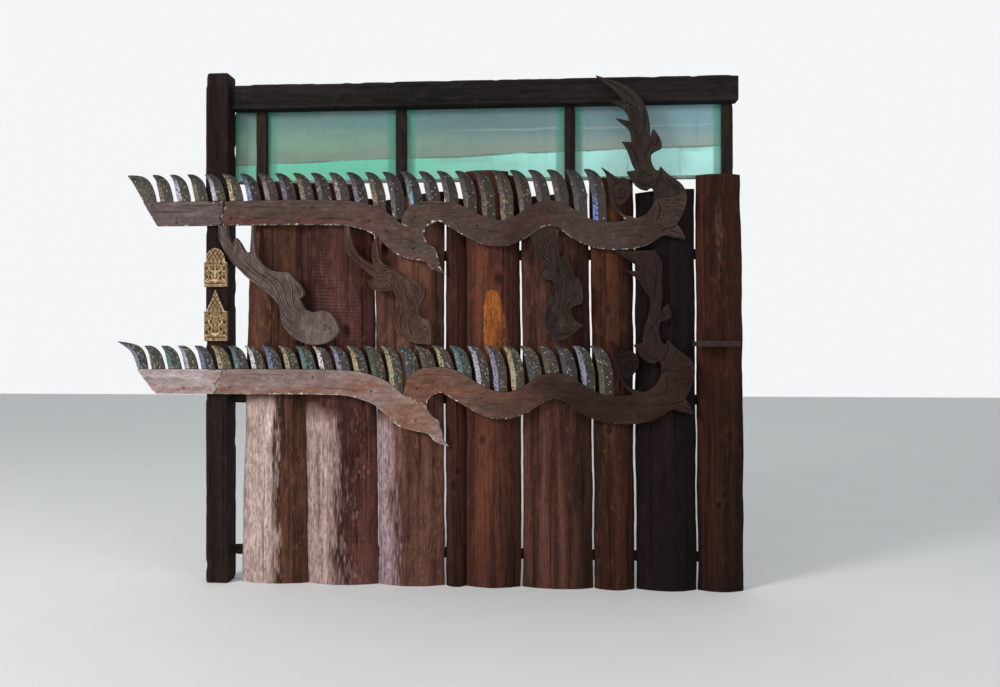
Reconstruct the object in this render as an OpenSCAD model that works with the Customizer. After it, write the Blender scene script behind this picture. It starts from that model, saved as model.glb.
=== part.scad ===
// Wall bay of a Thai pavilion: split-log slabs on a post and stud frame,
// with two old naga bargeboards, three eave brackets and two carved plaques
// fixed to its front.
// X runs along the wall, Z is up and the carved face looks to -Y.
// The origin is the centre of the corner post's foot.

/* [Frame] */
// Side of the square corner post
post_w = 150; // [120:5:200]
// Height of the corner post
post_h = 3300; // [3200:10:3500]
// Chamfer along the post's edges
post_chamfer = 10; // [4:1:20]
// Width of a stud, along the wall
stud_w = 70; // [50:5:100]
// Depth of a stud, through the wall
stud_d = 70; // [50:5:100]
// Front face of the studs
stud_y = 25; // [20:1:60]
// Stud centres along the wall
stud_x = [260, 1185, 2279, 3273];
// Underside of the head beam
beam_z = 3074; // [3000:2:3150]
// Height of the head beam
beam_h = 160; // [120:5:200]
// Right end of the head beam
beam_end = 3330; // [3310:5:3400]
// Front face of the head beam
beam_y = -35; // [-60:5:0]
// Undersides of the three back rails
rail_z = [170, 1162, 2082];
// Height of a back rail
rail_h = 66; // [40:2:100]

/* [Slabs] */
// How far a slab stands out at its crest
slab_crest = 75; // [50:1:100]
// Thickness left at a slab's waney edge
slab_edge = 14; // [8:1:30]

/* [Windows] */
// Thickness of a pane
pane_t = 6; // [4:1:10]
// Depth of the pane grooves in the studs
pane_groove = 8; // [4:1:12]
// Middle of the panes through the wall
pane_y = 60; // [40:1:80]
// Underside of the glazing bars that carry the panes
bar_z = 2600; // [2560:2:2660]
// Height of a glazing bar
bar_h = 23; // [16:1:40]
// Depth of a glazing bar
bar_d = 30; // [20:1:50]

/* [Naga boards] */
// Thickness of a board
board_t = 38; // [28:1:50]
// How far a board's front edge is eased
board_ease = 4; // [2:1:8]
// Size of the lower board against the upper one
lower_size = 1.02; // [0.98:0.005:1.05]
// Bottom of the lower board's notch
lower_notch = [1222, 1225];
// Thickness of a fin
fin_t = 18; // [12:1:24]
// Distance from fin to fin on the upper and the lower board
fin_pitch = [116, 108.5];
// Fins on each board's edge after the large first one
fin_count = [25, 27];
// Middle of the first ordinary fin
fin_start = [-324, -358];
// Tops of the fins, the lower board's at its own size
fin_top = [2644, 2617];

/* [Brackets and plaques] */
// Thickness of a bracket without its ribs
bracket_t = 48; // [36:1:70]
// How far the ribs stand out
rib_t = 7; // [3:1:12]
// Thickness of a plaque without its relief
plaque_t = 16; // [10:1:24]
// Width of a plaque
plaque_w = 152; // [120:2:170]
// Size of the small shelf
shelf_size = [270, 118, 34];
// Top of the small shelf
shelf_z = 1565; // [1500:5:1600]

/* [Hidden] */
wall_face = -slab_crest;
notch = [1208, 2310];
slack = 1;
// How far the fins' backs stand off the slabs, behind the boards' easing
fin_back = 6;
// Half widths of a fin's foot, left and right of its middle, and how far it is let in
fin_foot = [44, 48];
fin_root = 30;
// The lower horn ends here, just below the upper board's belly
lower_horn_top = 2128;
// Ribs of each bracket: how many, their pitch and their width
bracket_ribs = [[3, 20, 10], [2, 24, 14], [2, 24, 14]];
// Relief of a plaque: the rise of a tier and how far it is set in
tier_rise = 5;
tier_inset = 14;
// Foot of each plaque; the side, the rise and the half width of the dome; the side and
// top of the spire
plaque_z = [1915, 1566];
dome = [160, 91, 66];
spire = [192, 329];
// Half widths of the spire's shoulder and neck, and the neck's height over the side
spire_steps = [58, 26, 78];
// Middle of the small shelf along the wall
shelf_x = 3175;

// Outlines of the carved boards, along the wall and up, at the upper board's size.

// Rise of each body's first arch over its plain form
arch_lift = [0, 28];
// Top edge of the tail board, from its straight part down to the notch
tail_top = [
    [566, 2466], [720, 2464], [856, 2459], [952, 2446], [1048, 2419], [1132, 2374], notch
];
// The lobe that hooks down below the notch, to its tip
lobe_inner = [
    [[1354, 2240], [1357, 2222], [1372, 2197], [1397, 2171], [1431, 2147]],
    [[1431, 2147], [1438, 2112], [1451, 2075], [1458, 2038], [1473, 2012], [1494, 1990]]
];
// Underside of the tail board, from the lobe's tip back to the straight part
tail_low = [
    [1494, 1990], [1440, 2007], [1400, 2028], [1370, 2064], [1330, 2076], [1251, 2090],
    [1174, 2118], [1100, 2185], [1022, 2249], [939, 2281], [856, 2301], [720, 2308], [566, 2310]
];
// Back of the undulating body, from the notch to the head; the lift raises its first arch
function body_top(lift) = [
    notch, [1234, 2386 + lift / 2], [1291, 2432 + lift], [1380, 2453 + lift],
    [1494, 2446 + lift], [1589, 2424 + lift / 2], [1683, 2375], [1765, 2338], [1840, 2326],
    [1916, 2341], [1997, 2391], [2078, 2436], [2153, 2447], [2228, 2433], [2308, 2387],
    [2389, 2336], [2463, 2311], [2555, 2305], [2648, 2321]
];
// Belly of the undulating body, from the head back to the hook
body_low = [
    [2660, 2138], [2555, 2134], [2451, 2146], [2358, 2175], [2277, 2219], [2209, 2273],
    [2153, 2289], [2091, 2271], [2016, 2224], [1934, 2181], [1853, 2163], [1778, 2164],
    [1702, 2183], [1589, 2244], [1500, 2297], [1456, 2322], [1418, 2318], [1383, 2300],
    [1361, 2275], [1354, 2240]
];
// Inside of the head's curl, from the body's back up to the joint with the horn
head_inner = [[2648, 2321], [2709, 2336], [2758, 2364], [2789, 2407], [2801, 2445]];
// Joint between the head and the horn, whose foot forms the nape
nape_joint = [[2801, 2445], [2812, 2466], [2863, 2456], [2930, 2470], [2992, 2504]];
// Jaw of the head, from the horn's joint down to the belly, one list a stroke
head_outer = [
    [[2992, 2504], [3000, 2472], [2997, 2417], [2972, 2349], [2942, 2291]],
    [[2942, 2291], [2972, 2250], [2992, 2198]],
    [[2992, 2198], [2929, 2207], [2881, 2223], [2844, 2217], [2801, 2187], [2740, 2156],
     [2660, 2138]]
];
// Frond that curls up in front of the head, with a leaf inside its stem
frond_strokes = [
    [[2473, 2652], [2500, 2612], [2518, 2545], [2531, 2471], [2543, 2415], [2568, 2378],
     [2599, 2347], [2640, 2300]],
    [[2640, 2300], [2700, 2325]],
    [[2700, 2325], [2660, 2341], [2616, 2354], [2586, 2383], [2570, 2412]],
    [[2570, 2412], [2592, 2415], [2629, 2439], [2660, 2482], [2663, 2532], [2648, 2560]],
    [[2648, 2560], [2629, 2576], [2605, 2588]],
    [[2605, 2588], [2580, 2579]],
    [[2580, 2579], [2531, 2613], [2473, 2652]]
];
// Back of the upper horn from the joint over the nape to the tip, then its front with
// four flame tips down to the foot
upper_horn_strokes = [
    [[2992, 2504], [2972, 2536], [2938, 2566], [2893, 2597], [2838, 2652]],
    [[2838, 2652], [2826, 2626], [2801, 2638], [2783, 2685], [2783, 2722], [2807, 2746],
     [2844, 2764], [2846, 2795], [2832, 2833], [2796, 2886]],
    [[2796, 2886], [2783, 2864], [2774, 2830]],
    [[2774, 2830], [2774, 2902], [2761, 2982], [2740, 3038], [2709, 3085], [2666, 3130],
     [2599, 3171], [2525, 3197], [2440, 3226]],
    [[2440, 3226], [2481, 3186], [2543, 3141], [2586, 3097], [2605, 3062]],
    [[2605, 3062], [2535, 3062]],
    [[2535, 3062], [2586, 3032], [2623, 3003], [2642, 2960], [2648, 2935]],
    [[2648, 2935], [2564, 2957]],
    [[2564, 2957], [2599, 2926], [2642, 2891], [2657, 2848], [2660, 2804]],
    [[2660, 2804], [2602, 2809]],
    [[2602, 2809], [2629, 2768], [2648, 2718], [2666, 2668], [2685, 2631]]
];
// The lower horn in the same order: it is broader, and one flame tip is left on its front
lower_horn_strokes = [
    [[2992, 2504], [2972, 2536], [2938, 2566], [2893, 2597], [2838, 2652]],
    [[2838, 2652], [2826, 2626], [2801, 2638], [2788, 2685], [2783, 2722], [2794, 2759]],
    [[2794, 2759], [2838, 2772], [2860, 2808], [2838, 2869]],
    [[2838, 2869], [2812, 2850], [2794, 2822]],
    [[2794, 2822], [2804, 2924], [2800, 3015], [2806, 3110]],
    [[2806, 3110], [2786, 3160], [2740, 3230]],
    [[2740, 3230], [2470, 3230]],
    [[2470, 3230], [2529, 3186], [2595, 3143], [2632, 3119], [2652, 3094], [2655, 3070]],
    [[2655, 3070], [2571, 3077]],
    [[2571, 3077], [2620, 3050], [2668, 3009], [2698, 2954], [2728, 2912], [2738, 2869],
     [2728, 2820], [2700, 2730], [2685, 2631]]
];
// Foot of the horn's front, with its last tip, down to the joint
horn_foot = [
    [[2685, 2631], [2632, 2621]],
    [[2632, 2621], [2654, 2581], [2690, 2532], [2728, 2509], [2760, 2504]],
    [[2760, 2504], [2782, 2520], [2798, 2500], [2801, 2445]]
];
// Wavy joint between the end block and the tail board, upper and lower
end_joint = [
    [[37, 2310], [46, 2338], [36, 2362], [52, 2392], [60, 2424], [57, 2466]],
    [[-3, 2310], [24, 2350], [8, 2376], [34, 2402], [44, 2428], [68, 2466]]
];
// A fin's two edges, measured from its middle along the wall and from its top
fin_left = [[-44, -180], [-54, -130], [-66, -75], [-77, -34], [-101, -2]];
fin_right = [[-101, -2], [-69, 0], [-42, -7], [-12, -27], [12, -58], [30, -112], [48, -190]];
// The large first fin of the upper board, then of the lower one
first_fin = [
    [
        [[-478, 2466], [-522, 2540], [-560, 2604], [-592, 2642]],
        [[-592, 2642], [-510, 2640], [-458, 2618], [-424, 2572], [-402, 2510], [-394, 2466]]
    ],
    [
        [[-470, 2440], [-498, 2466], [-510, 2500], [-522, 2531], [-538, 2566], [-569, 2598],
         [-638, 2644]],
        [[-638, 2644], [-576, 2636], [-504, 2619], [-466, 2588], [-446, 2545], [-436, 2500],
         [-430, 2440]]
    ]
];

// Eave brackets: the tall one at the left has grooved leaves, the others are plainer.
bracket_1_strokes = [
    [[84, 2304], [32, 2304]],
    [[32, 2304], [33, 2245], [46, 2193], [74, 2140], [106, 2090], [132, 2058], [177, 2013],
     [222, 1968], [285, 1925], [317, 1897], [369, 1858]],
    [[369, 1858], [418, 1806], [434, 1760], [438, 1710], [460, 1655], [501, 1604],
     [546, 1572], [598, 1549], [650, 1541], [708, 1546], [758, 1566], [798, 1600],
     [816, 1632]],
    [[816, 1632], [802, 1672], [782, 1716], [755, 1744], [708, 1760], [669, 1750],
     [630, 1752], [598, 1768], [574, 1800], [558, 1835]],
    [[558, 1835], [583, 1858], [581, 1888], [560, 1924], [530, 1958], [490, 2002]],
    [[490, 2002], [452, 2004], [388, 2012], [338, 2038], [299, 2076], [275, 2120],
     [268, 2172], [262, 2240], [262, 2304]],
    [[262, 2304], [247, 2304]],
    [[247, 2304], [243, 2215], [236, 2128]],
    [[236, 2128], [213, 2134], [194, 2152], [170, 2195], [143, 2228]],
    [[143, 2228], [132, 2200], [124, 2178]],
    [[124, 2178], [100, 2222], [86, 2262], [84, 2304]]
];
bracket_2_strokes = [
    [[880, 2292], [852, 2292]],
    [[852, 2292], [846, 2206], [862, 2130], [901, 2085], [952, 2041], [1042, 1962]],
    [[1042, 1962], [1000, 1946]],
    [[1000, 1946], [1016, 1914], [1048, 1885], [1100, 1880], [1157, 1888]],
    [[1157, 1888], [1176, 1840], [1195, 1796]],
    [[1195, 1796], [1176, 1750], [1170, 1711], [1176, 1645], [1202, 1603], [1259, 1572],
     [1304, 1550], [1405, 1542]],
    [[1405, 1542], [1410, 1620], [1399, 1698]],
    [[1399, 1698], [1348, 1713], [1320, 1762], [1342, 1805], [1361, 1849], [1368, 1888]],
    [[1368, 1888], [1335, 1915], [1291, 1955], [1234, 1966]],
    [[1234, 1966], [1195, 2007], [1157, 2030], [1106, 2050], [1072, 2100], [1056, 2236]],
    [[1056, 2236], [1030, 2180], [1026, 2110], [1034, 2052]],
    [[1034, 2052], [970, 2090], [915, 2150], [893, 2220], [880, 2292]]
];
bracket_3_strokes = [
    [[2028, 2226], [2034, 2190], [2047, 2153], [2078, 2097], [2115, 2053], [2147, 2034]],
    [[2147, 2034], [2109, 2022], [2090, 1984], [2115, 1953], [2165, 1946]],
    [[2165, 1946], [2184, 1909], [2190, 1865], [2178, 1834]],
    [[2178, 1834], [2159, 1847]],
    [[2159, 1847], [2140, 1800], [2122, 1750], [2115, 1710], [2126, 1650], [2159, 1591]],
    [[2159, 1591], [2190, 1566], [2234, 1572], [2290, 1603], [2364, 1665]],
    [[2364, 1665], [2321, 1684], [2296, 1715], [2283, 1759], [2300, 1784], [2346, 1796]],
    [[2346, 1796], [2358, 1833], [2352, 1896], [2327, 1964]],
    [[2327, 1964], [2308, 1958], [2296, 1996], [2277, 2039], [2252, 2120]],
    [[2252, 2120], [2224, 2092], [2204, 2140], [2198, 2190], [2209, 2262]],
    [[2209, 2262], [2153, 2283], [2096, 2266], [2028, 2226]]
];

// Slabs: left and right edges, tops at each edge, then how far each edge leans right
// towards the foot
slabs = [
    [222, 524, 2600, 2590, -76, 58], [526, 1013, 2590, 2570, 58, 33],
    [1017, 1470, 2456, 2527, 33, 9], [1480, 1608, 2474, 2474, 9, 7],
    [1610, 1956, 2651, 2649, 7, 13], [1967, 2392, 2480, 2502, 13, 30],
    [2400, 2681, 2600, 2582, 30, 1], [2693, 3054, 2499, 2524, 1, 22],
    [3062, 3336, 2609, 2609, 22, 34]
];
// Steps sawn in a slab's top: the slab, where the step starts and the height left
top_steps = [[1, 925, 2484], [4, 1885, 2490]];

// A smooth curve through the points of one stroke, with n steps between two points.
function curve(p, n = 2) =
    len(p) < 3 ? [p[0]] : [
        for (i = [0 : len(p) - 2])
            let (a = p[max(i - 1, 0)], b = p[i], c = p[i + 1], d = p[min(i + 2, len(p) - 1)])
            for (k = [0 : n - 1])
                let (t = k / n)
                b + 0.5 * t * ((c - a) + t * ((2 * a - 5 * b + 4 * c - d) + t * (3 * (b - c) + d - a)))
    ];

function last(p) = p[len(p) - 1];

// One outline from several strokes, each starting where the one before it ends.
function strokes(list, n = 2) = [for (s = list) each curve(s, n)];

// A flat piece on the wall's face: the outline runs along X and up Z.
module on_face(t, y = wall_face) {
    translate([0, y, 0])
        rotate([90, 0, 0])
            linear_extrude(height = t)
                children();
}

// A carved board: a plank sawn to an outline, with its front edge eased.
module eased(t, y = wall_face) {
    on_face(t - board_ease, y)
        children();
    on_face(t, y)
        offset(delta = -board_ease)
            children();
}

// The lower board is the upper one resized about its notch and moved down.
module lower() {
    translate([lower_notch.x, wall_face, lower_notch.y])
        scale(lower_size)
            translate([-notch.x, -wall_face, -notch.y])
                children();
}

// Slab with a rounded front, lofted up through rings whose width wanders a little.
slab_rings = 7;
slab_arc = 8;
slab_wander = 4;

// Two neighbours sway together, so their joint keeps its width from foot to top.
function edge_sway(joint, f) = slab_wander * sin(220 * f + 70 * joint);

function slab_section(left, right, crest, z) = [
    [left, 0, z],
    for (k = [0 : slab_arc])
        let (a = 180 * k / slab_arc)
        [
            (left + right) / 2 - (right - left) / 2 * cos(a),
            -slab_edge - (crest - slab_edge) * pow(sin(a), 0.75),
            z
        ],
    [right, 0, z]
];

module slab_loft(s, k) {
    m = slab_arc + 3;
    pts = [
        for (r = [0 : slab_rings - 1])
            let (f = r / (slab_rings - 1))
            let (left = s[0] + edge_sway(k, f) + s[4] * (1 - pow(f, 1.5)))
            let (right = s[1] + edge_sway(k + 1, f) + s[5] * (1 - pow(f, 1.5)))
            for (p = slab_section(left, right, slab_crest, f))
                [p.x, p.y, f * (s[2] + (s[3] - s[2]) * (p.x - s[0]) / (s[1] - s[0]))]
    ];
    faces = [
        [for (j = [0 : m - 1]) j],
        for (r = [0 : slab_rings - 2])
            for (j = [0 : m - 1])
                let (a = r * m + j, b = r * m + (j + 1) % m)
                [a, a + m, b + m, b],
        [for (j = [m - 1 : -1 : 0]) (slab_rings - 1) * m + j]
    ];
    polyhedron(points = pts, faces = faces, convexity = 4);
}

module slab(k) {
    color("brown")
        difference() {
            slab_loft(slabs[k], k);
            for (step = top_steps)
                if (step[0] == k)
                    translate([step[1], wall_face - slack, step[2]])
                        cube([slabs[k][1] - step[1] + 20, slab_crest + 2 * slack, 200]);
        }
}

module corner_post() {
    color("saddlebrown")
        linear_extrude(height = post_h)
            offset(delta = post_chamfer, chamfer = true)
                square(post_w - 2 * post_chamfer, center = true);
}

// A stud, with a groove in each side that meets a pane.
module stud(k) {
    color("sienna")
        difference() {
            translate([stud_x[k] - stud_w / 2, stud_y, 0])
                cube([stud_w, stud_d, beam_z]);
            translate([stud_x[k] - stud_w / 2 - slack, pane_y - pane_t / 2, bar_z + bar_h])
                cube([pane_groove + slack, pane_t, beam_z]);
            if (k < 3)
                translate([stud_x[k] + stud_w / 2 - pane_groove, pane_y - pane_t / 2, bar_z + bar_h])
                    cube([pane_groove + slack, pane_t, beam_z]);
        }
}

module head_beam() {
    color("#3a2a22")
        translate([post_w / 2, beam_y, beam_z])
            cube([beam_end - post_w / 2, stud_y + stud_d - beam_y, beam_h]);
}

module rail(k) {
    color("sienna")
        translate([post_w / 2, 0, rail_z[k]])
            cube([beam_end - 20 - post_w / 2, stud_y, rail_h]);
}

// A sheet of glass in its grooves, or against the corner post at the first opening.
module pane(k) {
    x0 = k == 0 ? post_w / 2 : stud_x[k - 1] + stud_w / 2 - pane_groove;
    x1 = stud_x[k] - stud_w / 2 + pane_groove;
    foot = bar_z + bar_h;
    color("palegreen", 0.5)
        translate([x0, pane_y - pane_t / 2, foot])
            cube([x1 - x0, pane_t, beam_z - foot]);
}

// The thin bar between two uprights that a pane stands on.
module glazing_bar(k) {
    x0 = k == 0 ? post_w / 2 : stud_x[k - 1] + stud_w / 2;
    color("sienna")
        translate([x0, pane_y - bar_d / 2, bar_z])
            cube([stud_x[k] - stud_w / 2 - x0, bar_d, bar_h]);
}

// A smooth curve that keeps its last point.
function whole(p) = concat(curve(p), [last(p)]);

// Flat outlines of the boards' pieces, all at the upper board's size; k is 0 for the
// upper board and 1 for the lower one.
module end_flat(k) {
    left = [
        [[-478, 2466], [-385, 2310]],
        whole([[-500, 2466], [-485, 2446], [-459, 2411], [-425, 2370], [-400, 2334], [-368, 2310]])
    ];
    polygon(concat(left[k], whole(end_joint[k])));
}

module tail_flat(k) {
    polygon(concat(
        whole(end_joint[k]),
        whole(tail_top),
        strokes(lobe_inner),
        whole(tail_low)
    ));
}

module naga_flat(k) {
    polygon(concat(
        strokes([body_top(arch_lift[k]), head_inner, nape_joint]),
        strokes(head_outer),
        whole(body_low)
    ));
    polygon(strokes(frond_strokes));
}

module horn_flat(k) {
    outlines = [upper_horn_strokes, lower_horn_strokes];
    polygon(strokes(concat(outlines[k], horn_foot, [nape_joint])));
}

// The fins' feet follow the board's top edge, from its left end to the frond.
function fin_feet(k) = concat(
    [[-700, tail_top[0].y]], curve(tail_top), whole(body_top(arch_lift[k]))
);

module fin_flat(x, top, feet) {
    foot = min(lookup(x - fin_foot[0], feet), lookup(x + fin_foot[1], feet)) - fin_root;
    polygon(concat(
        [[x - fin_foot[0] + 6, foot]],
        [for (p = curve(fin_left)) p + [x, top]],
        [for (p = curve(fin_right)) p + [x, top]],
        [[x + fin_foot[1], foot]]
    ));
}

// All the fins of one board: flame-shaped blades whose feet sit on the board's edge.
module fins(k) {
    feet = fin_feet(k);
    color("goldenrod")
        on_face(fin_t, wall_face - fin_back)
            difference() {
                for (n = [0 : fin_count[k] - 1])
                    fin_flat(fin_start[k] + n * fin_pitch[k], fin_top[k], feet);
                polygon(concat(feet, [[last(feet).x, 0], [feet[0].x, 0]]));
            }
    color("goldenrod")
        on_face(fin_t, wall_face - fin_back)
            difference() {
                polygon(concat(strokes(first_fin[k]), [last(last(first_fin[k]))]));
                end_flat(k);
            }
}

// A bracket: a plank cut to leaves, with raised ribs that run along its outline.
module bracket(outline, ribs) {
    color("rosybrown") {
        on_face(bracket_t)
            polygon(strokes(outline));
        for (k = [0 : ribs[0] - 1])
            on_face(bracket_t + rib_t)
                difference() {
                    offset(delta = -k * ribs[1])
                        polygon(strokes(outline));
                    offset(delta = -k * ribs[1] - ribs[2])
                        polygon(strokes(outline));
                }
    }
}

// A plaque: a thin board with two raised tiers of the same outline.
module plaque(z) {
    color("gold")
        translate([0, 0, z])
            for (k = [0 : 2])
                on_face(plaque_t + k * tier_rise, -post_w / 2)
                    offset(delta = -k * tier_inset)
                        children();
}

module dome_flat() {
    polygon(concat(
        [[-plaque_w / 2, 0], [plaque_w / 2, 0], [plaque_w / 2, dome[0]]],
        [for (a = [0 : 12 : 180]) [dome[2] * cos(a), dome[0] + dome[1] * sin(a)]],
        [[-plaque_w / 2, dome[0]]]
    ));
}

module spire_flat() {
    half = [[plaque_w / 2, 0], [plaque_w / 2, spire[0]], [spire_steps[0], spire[0] + 4],
        [spire_steps[1], spire[0] + spire_steps[2]]];
    polygon(concat(
        half,
        [[0, spire[1]]],
        [for (i = [len(half) - 1 : -1 : 0]) [-half[i].x, half[i].y]]
    ));
}

module end_block(k) {
    color("peru")
        eased(board_t)
            end_flat(k);
}

module tail_board(k) {
    color("chocolate")
        eased(board_t)
            tail_flat(k);
}

module naga(k) {
    color("chocolate")
        eased(board_t)
            naga_flat(k);
}

module horn(k) {
    color("chocolate")
        eased(board_t)
            horn_flat(k);
}

// The lower horn is cut off where the upper board hides it.
module lower_horn() {
    difference() {
        lower()
            horn(1);
        translate([notch.x, wall_face - board_t - slack, lower_horn_top])
            cube([post_h, board_t + 2 * slack, post_h]);
    }
}

module small_shelf() {
    color("sienna")
        translate([shelf_x - shelf_size.x / 2, wall_face - shelf_size.y, shelf_z - shelf_size.z])
            cube(shelf_size);
}

corner_post();
stud(0);  // stud_1
stud(1);  // stud_2
stud(2);  // stud_3
stud(3);  // stud_4
head_beam();
rail(0);  // rail_low
rail(1);  // rail_middle
rail(2);  // rail_high
slab(0);  // slab_1
slab(1);  // slab_2
slab(2);  // slab_3
slab(3);  // slab_4
slab(4);  // slab_5
slab(5);  // slab_6
slab(6);  // slab_7
slab(7);  // slab_8
slab(8);  // slab_9
pane(0);  // pane_1
pane(1);  // pane_2
pane(2);  // pane_3
pane(3);  // pane_4
glazing_bar(0);  // glazing_bar_1
glazing_bar(1);  // glazing_bar_2
glazing_bar(2);  // glazing_bar_3
glazing_bar(3);  // glazing_bar_4
end_block(0);  // upper_end_block
tail_board(0);  // upper_tail_board
naga(0);  // upper_naga
horn(0);  // upper_horn
fins(0);  // upper_fins
lower() end_block(1);  // lower_end_block
lower() tail_board(1);  // lower_tail_board
lower() naga(1);  // lower_naga
lower_horn();
lower() fins(1);  // lower_fins
bracket(bracket_1_strokes, bracket_ribs[0]);  // bracket_1
bracket(bracket_2_strokes, bracket_ribs[1]);  // bracket_2
bracket(bracket_3_strokes, bracket_ribs[2]);  // bracket_3
plaque(plaque_z[0]) dome_flat();  // plaque_high
plaque(plaque_z[1]) spire_flat();  // plaque_low
small_shelf();
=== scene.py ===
"""Looks of a timber wall bay with two carved naga bargeboards, brackets and plaques."""
import math

import bpy
import numpy as np
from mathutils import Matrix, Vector
from mathutils.bvhtree import BVHTree
from mathutils.geometry import delaunay_2d_cdt


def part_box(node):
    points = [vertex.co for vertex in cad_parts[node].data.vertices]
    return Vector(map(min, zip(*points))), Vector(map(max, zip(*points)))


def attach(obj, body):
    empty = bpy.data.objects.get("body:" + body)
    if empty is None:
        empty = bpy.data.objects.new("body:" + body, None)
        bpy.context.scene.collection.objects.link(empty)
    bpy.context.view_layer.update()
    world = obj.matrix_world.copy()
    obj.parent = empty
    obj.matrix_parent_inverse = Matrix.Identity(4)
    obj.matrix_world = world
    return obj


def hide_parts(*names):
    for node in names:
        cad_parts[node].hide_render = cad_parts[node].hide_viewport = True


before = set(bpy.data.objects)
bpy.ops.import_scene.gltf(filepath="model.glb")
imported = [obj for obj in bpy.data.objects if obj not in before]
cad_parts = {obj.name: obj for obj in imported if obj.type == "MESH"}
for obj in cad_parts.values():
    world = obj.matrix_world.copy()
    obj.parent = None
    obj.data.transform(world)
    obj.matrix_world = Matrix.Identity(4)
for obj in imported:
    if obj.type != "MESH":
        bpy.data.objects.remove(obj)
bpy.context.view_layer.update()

# The view: a level camera at eye height in the room, turned a little to the left
# of square on, so that the beam's underside climbs slightly to the right.
camera_place = (2.206, -5.50, 1.55)
camera_turn = math.radians(3.89)
camera_focal = 860 / 1000
camera = bpy.data.objects.new("camera", bpy.data.cameras.new("camera"))
camera.data.sensor_width = 36
camera.data.lens = 36 * camera_focal
camera.location = camera_place
camera.rotation_euler = (math.radians(90), 0, camera_turn)
bpy.context.scene.collection.objects.link(camera)
bpy.context.scene.camera = camera
bpy.context.scene.view_settings.view_transform = "Standard"


# Every finish is a small tree of shader nodes, written as sums on its sockets.
class Paint:
    """One socket of a material; sums on it add Math nodes to the material's tree."""

    def __init__(self, tree, socket=None):
        self.tree = tree
        self.socket = socket

    def node(self, kind, settings=None, sockets=None, out=0):
        """Adds a node, sets its settings, then its sockets, and gives one output."""
        node = self.tree.nodes.new(kind)
        for name, value in (settings or {}).items():
            setattr(node, name, value)
        for name, value in (sockets or {}).items():
            if isinstance(value, Paint):
                self.tree.links.new(value.socket, node.inputs[name])
            else:
                node.inputs[name].default_value = value
        return Paint(self.tree, node.outputs[out])

    def given(self, name, out=0):
        """What the mesh's points carry under a name."""
        return self.node("ShaderNodeAttribute", {"attribute_name": name}, None, out)

    def sum(self, operation, first, second=0.0):
        """One Math node on values or sockets."""
        return self.node("ShaderNodeMath", {"operation": operation}, {0: first, 1: second})

    def __add__(self, other):
        return self.sum("ADD", self, other)

    def __sub__(self, other):
        return self.sum("SUBTRACT", self, other)

    def __mul__(self, other):
        return self.sum("MULTIPLY", self, other)

    def __rsub__(self, other):
        return self.sum("SUBTRACT", other, self)

    __radd__ = __add__
    __rmul__ = __mul__

    def sine(self):
        return self.sum("SINE", self)

    def size(self):
        return self.sum("ABSOLUTE", self)

    def ramp(self, low, high, to_low=0.0, to_high=1.0):
        """Runs smoothly from one value to another while this one goes from low to high."""
        return self.node(
            "ShaderNodeMapRange", {"interpolation_type": "SMOOTHSTEP"},
            {"Value": self, "From Min": low, "From Max": high, "To Min": to_low, "To Max": to_high})

    def mix(self, first, second):
        """Two colours mixed by this value."""
        return self.node(
            "ShaderNodeMix", {"data_type": "RGBA"},
            {"Factor": self, 6: colour(first), 7: colour(second)}, 2)

    def part(self, axis):
        """One part of a vector or colour."""
        return self.node("ShaderNodeSeparateXYZ", None, {0: self}, axis)

    def stretched(self, x, y, z, shift=0.0):
        """A vector scaled along each axis."""
        return self.node(
            "ShaderNodeVectorMath", {"operation": "MULTIPLY_ADD"},
            {0: self, 1: (x, y, z), 2: (shift, shift, shift)})

    def noise(self, x, y, z, detail=3.0, rough=0.55, warp=0.0, shift=0.0):
        """Soft noise about 0.5 with so many patches in a metre along each axis."""
        return self.node(
            "ShaderNodeTexNoise", {"noise_dimensions": "3D"},
            {"Vector": self.stretched(x, y, z, shift), "Scale": 1.0, "Detail": detail,
             "Roughness": rough, "Distortion": warp})

    def shaded(self, other):
        """A colour darkened by a value."""
        return self.node(
            "ShaderNodeVectorMath", {"operation": "SCALE"}, {0: self, "Scale": other})

    def bump(self, strength, distance):
        """A normal bumped with this value as its height."""
        return self.node(
            "ShaderNodeBump", None, {"Strength": strength, "Distance": distance, "Height": self})


def colour(shade):
    """A colour as a socket's value: three numbers get an alpha of 1."""
    return shade if isinstance(shade, Paint) else (*shade, 1.0)


def rgb(red, green, blue):
    """The linear colour of three 8-bit screen values."""
    return tuple(
        v / 12.92 if v <= 0.04045 else ((v + 0.055) / 1.055) ** 2.4
        for v in (red / 255, green / 255, blue / 255))


def finish(name, build, **constants):
    """A material whose shader gets what build gives, and plain values for the rest."""
    material = bpy.data.materials.new(name)
    material.use_nodes = True
    tree = material.node_tree
    shader = tree.nodes["Principled BSDF"]
    for socket, value in constants.items():
        shader.inputs[socket.replace("_", " ")].default_value = value
    for socket, value in build(Paint(tree)).items():
        if isinstance(value, Paint):
            tree.links.new(value.socket, shader.inputs[socket])
        else:
            shader.inputs[socket].default_value = value
    return material


# The room: a pale floor, a pale backdrop of sky colour and two soft lamps at a plain
# level, so that a colour renders about as it is written.
def pale_floor(start):
    grain = start.node("ShaderNodeTexCoord", None, None, 3).noise(3, 3, 3)
    return {"Base Color": grain.mix((0.82, 0.82, 0.81), (0.87, 0.87, 0.86)), "Roughness": 0.8}


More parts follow.
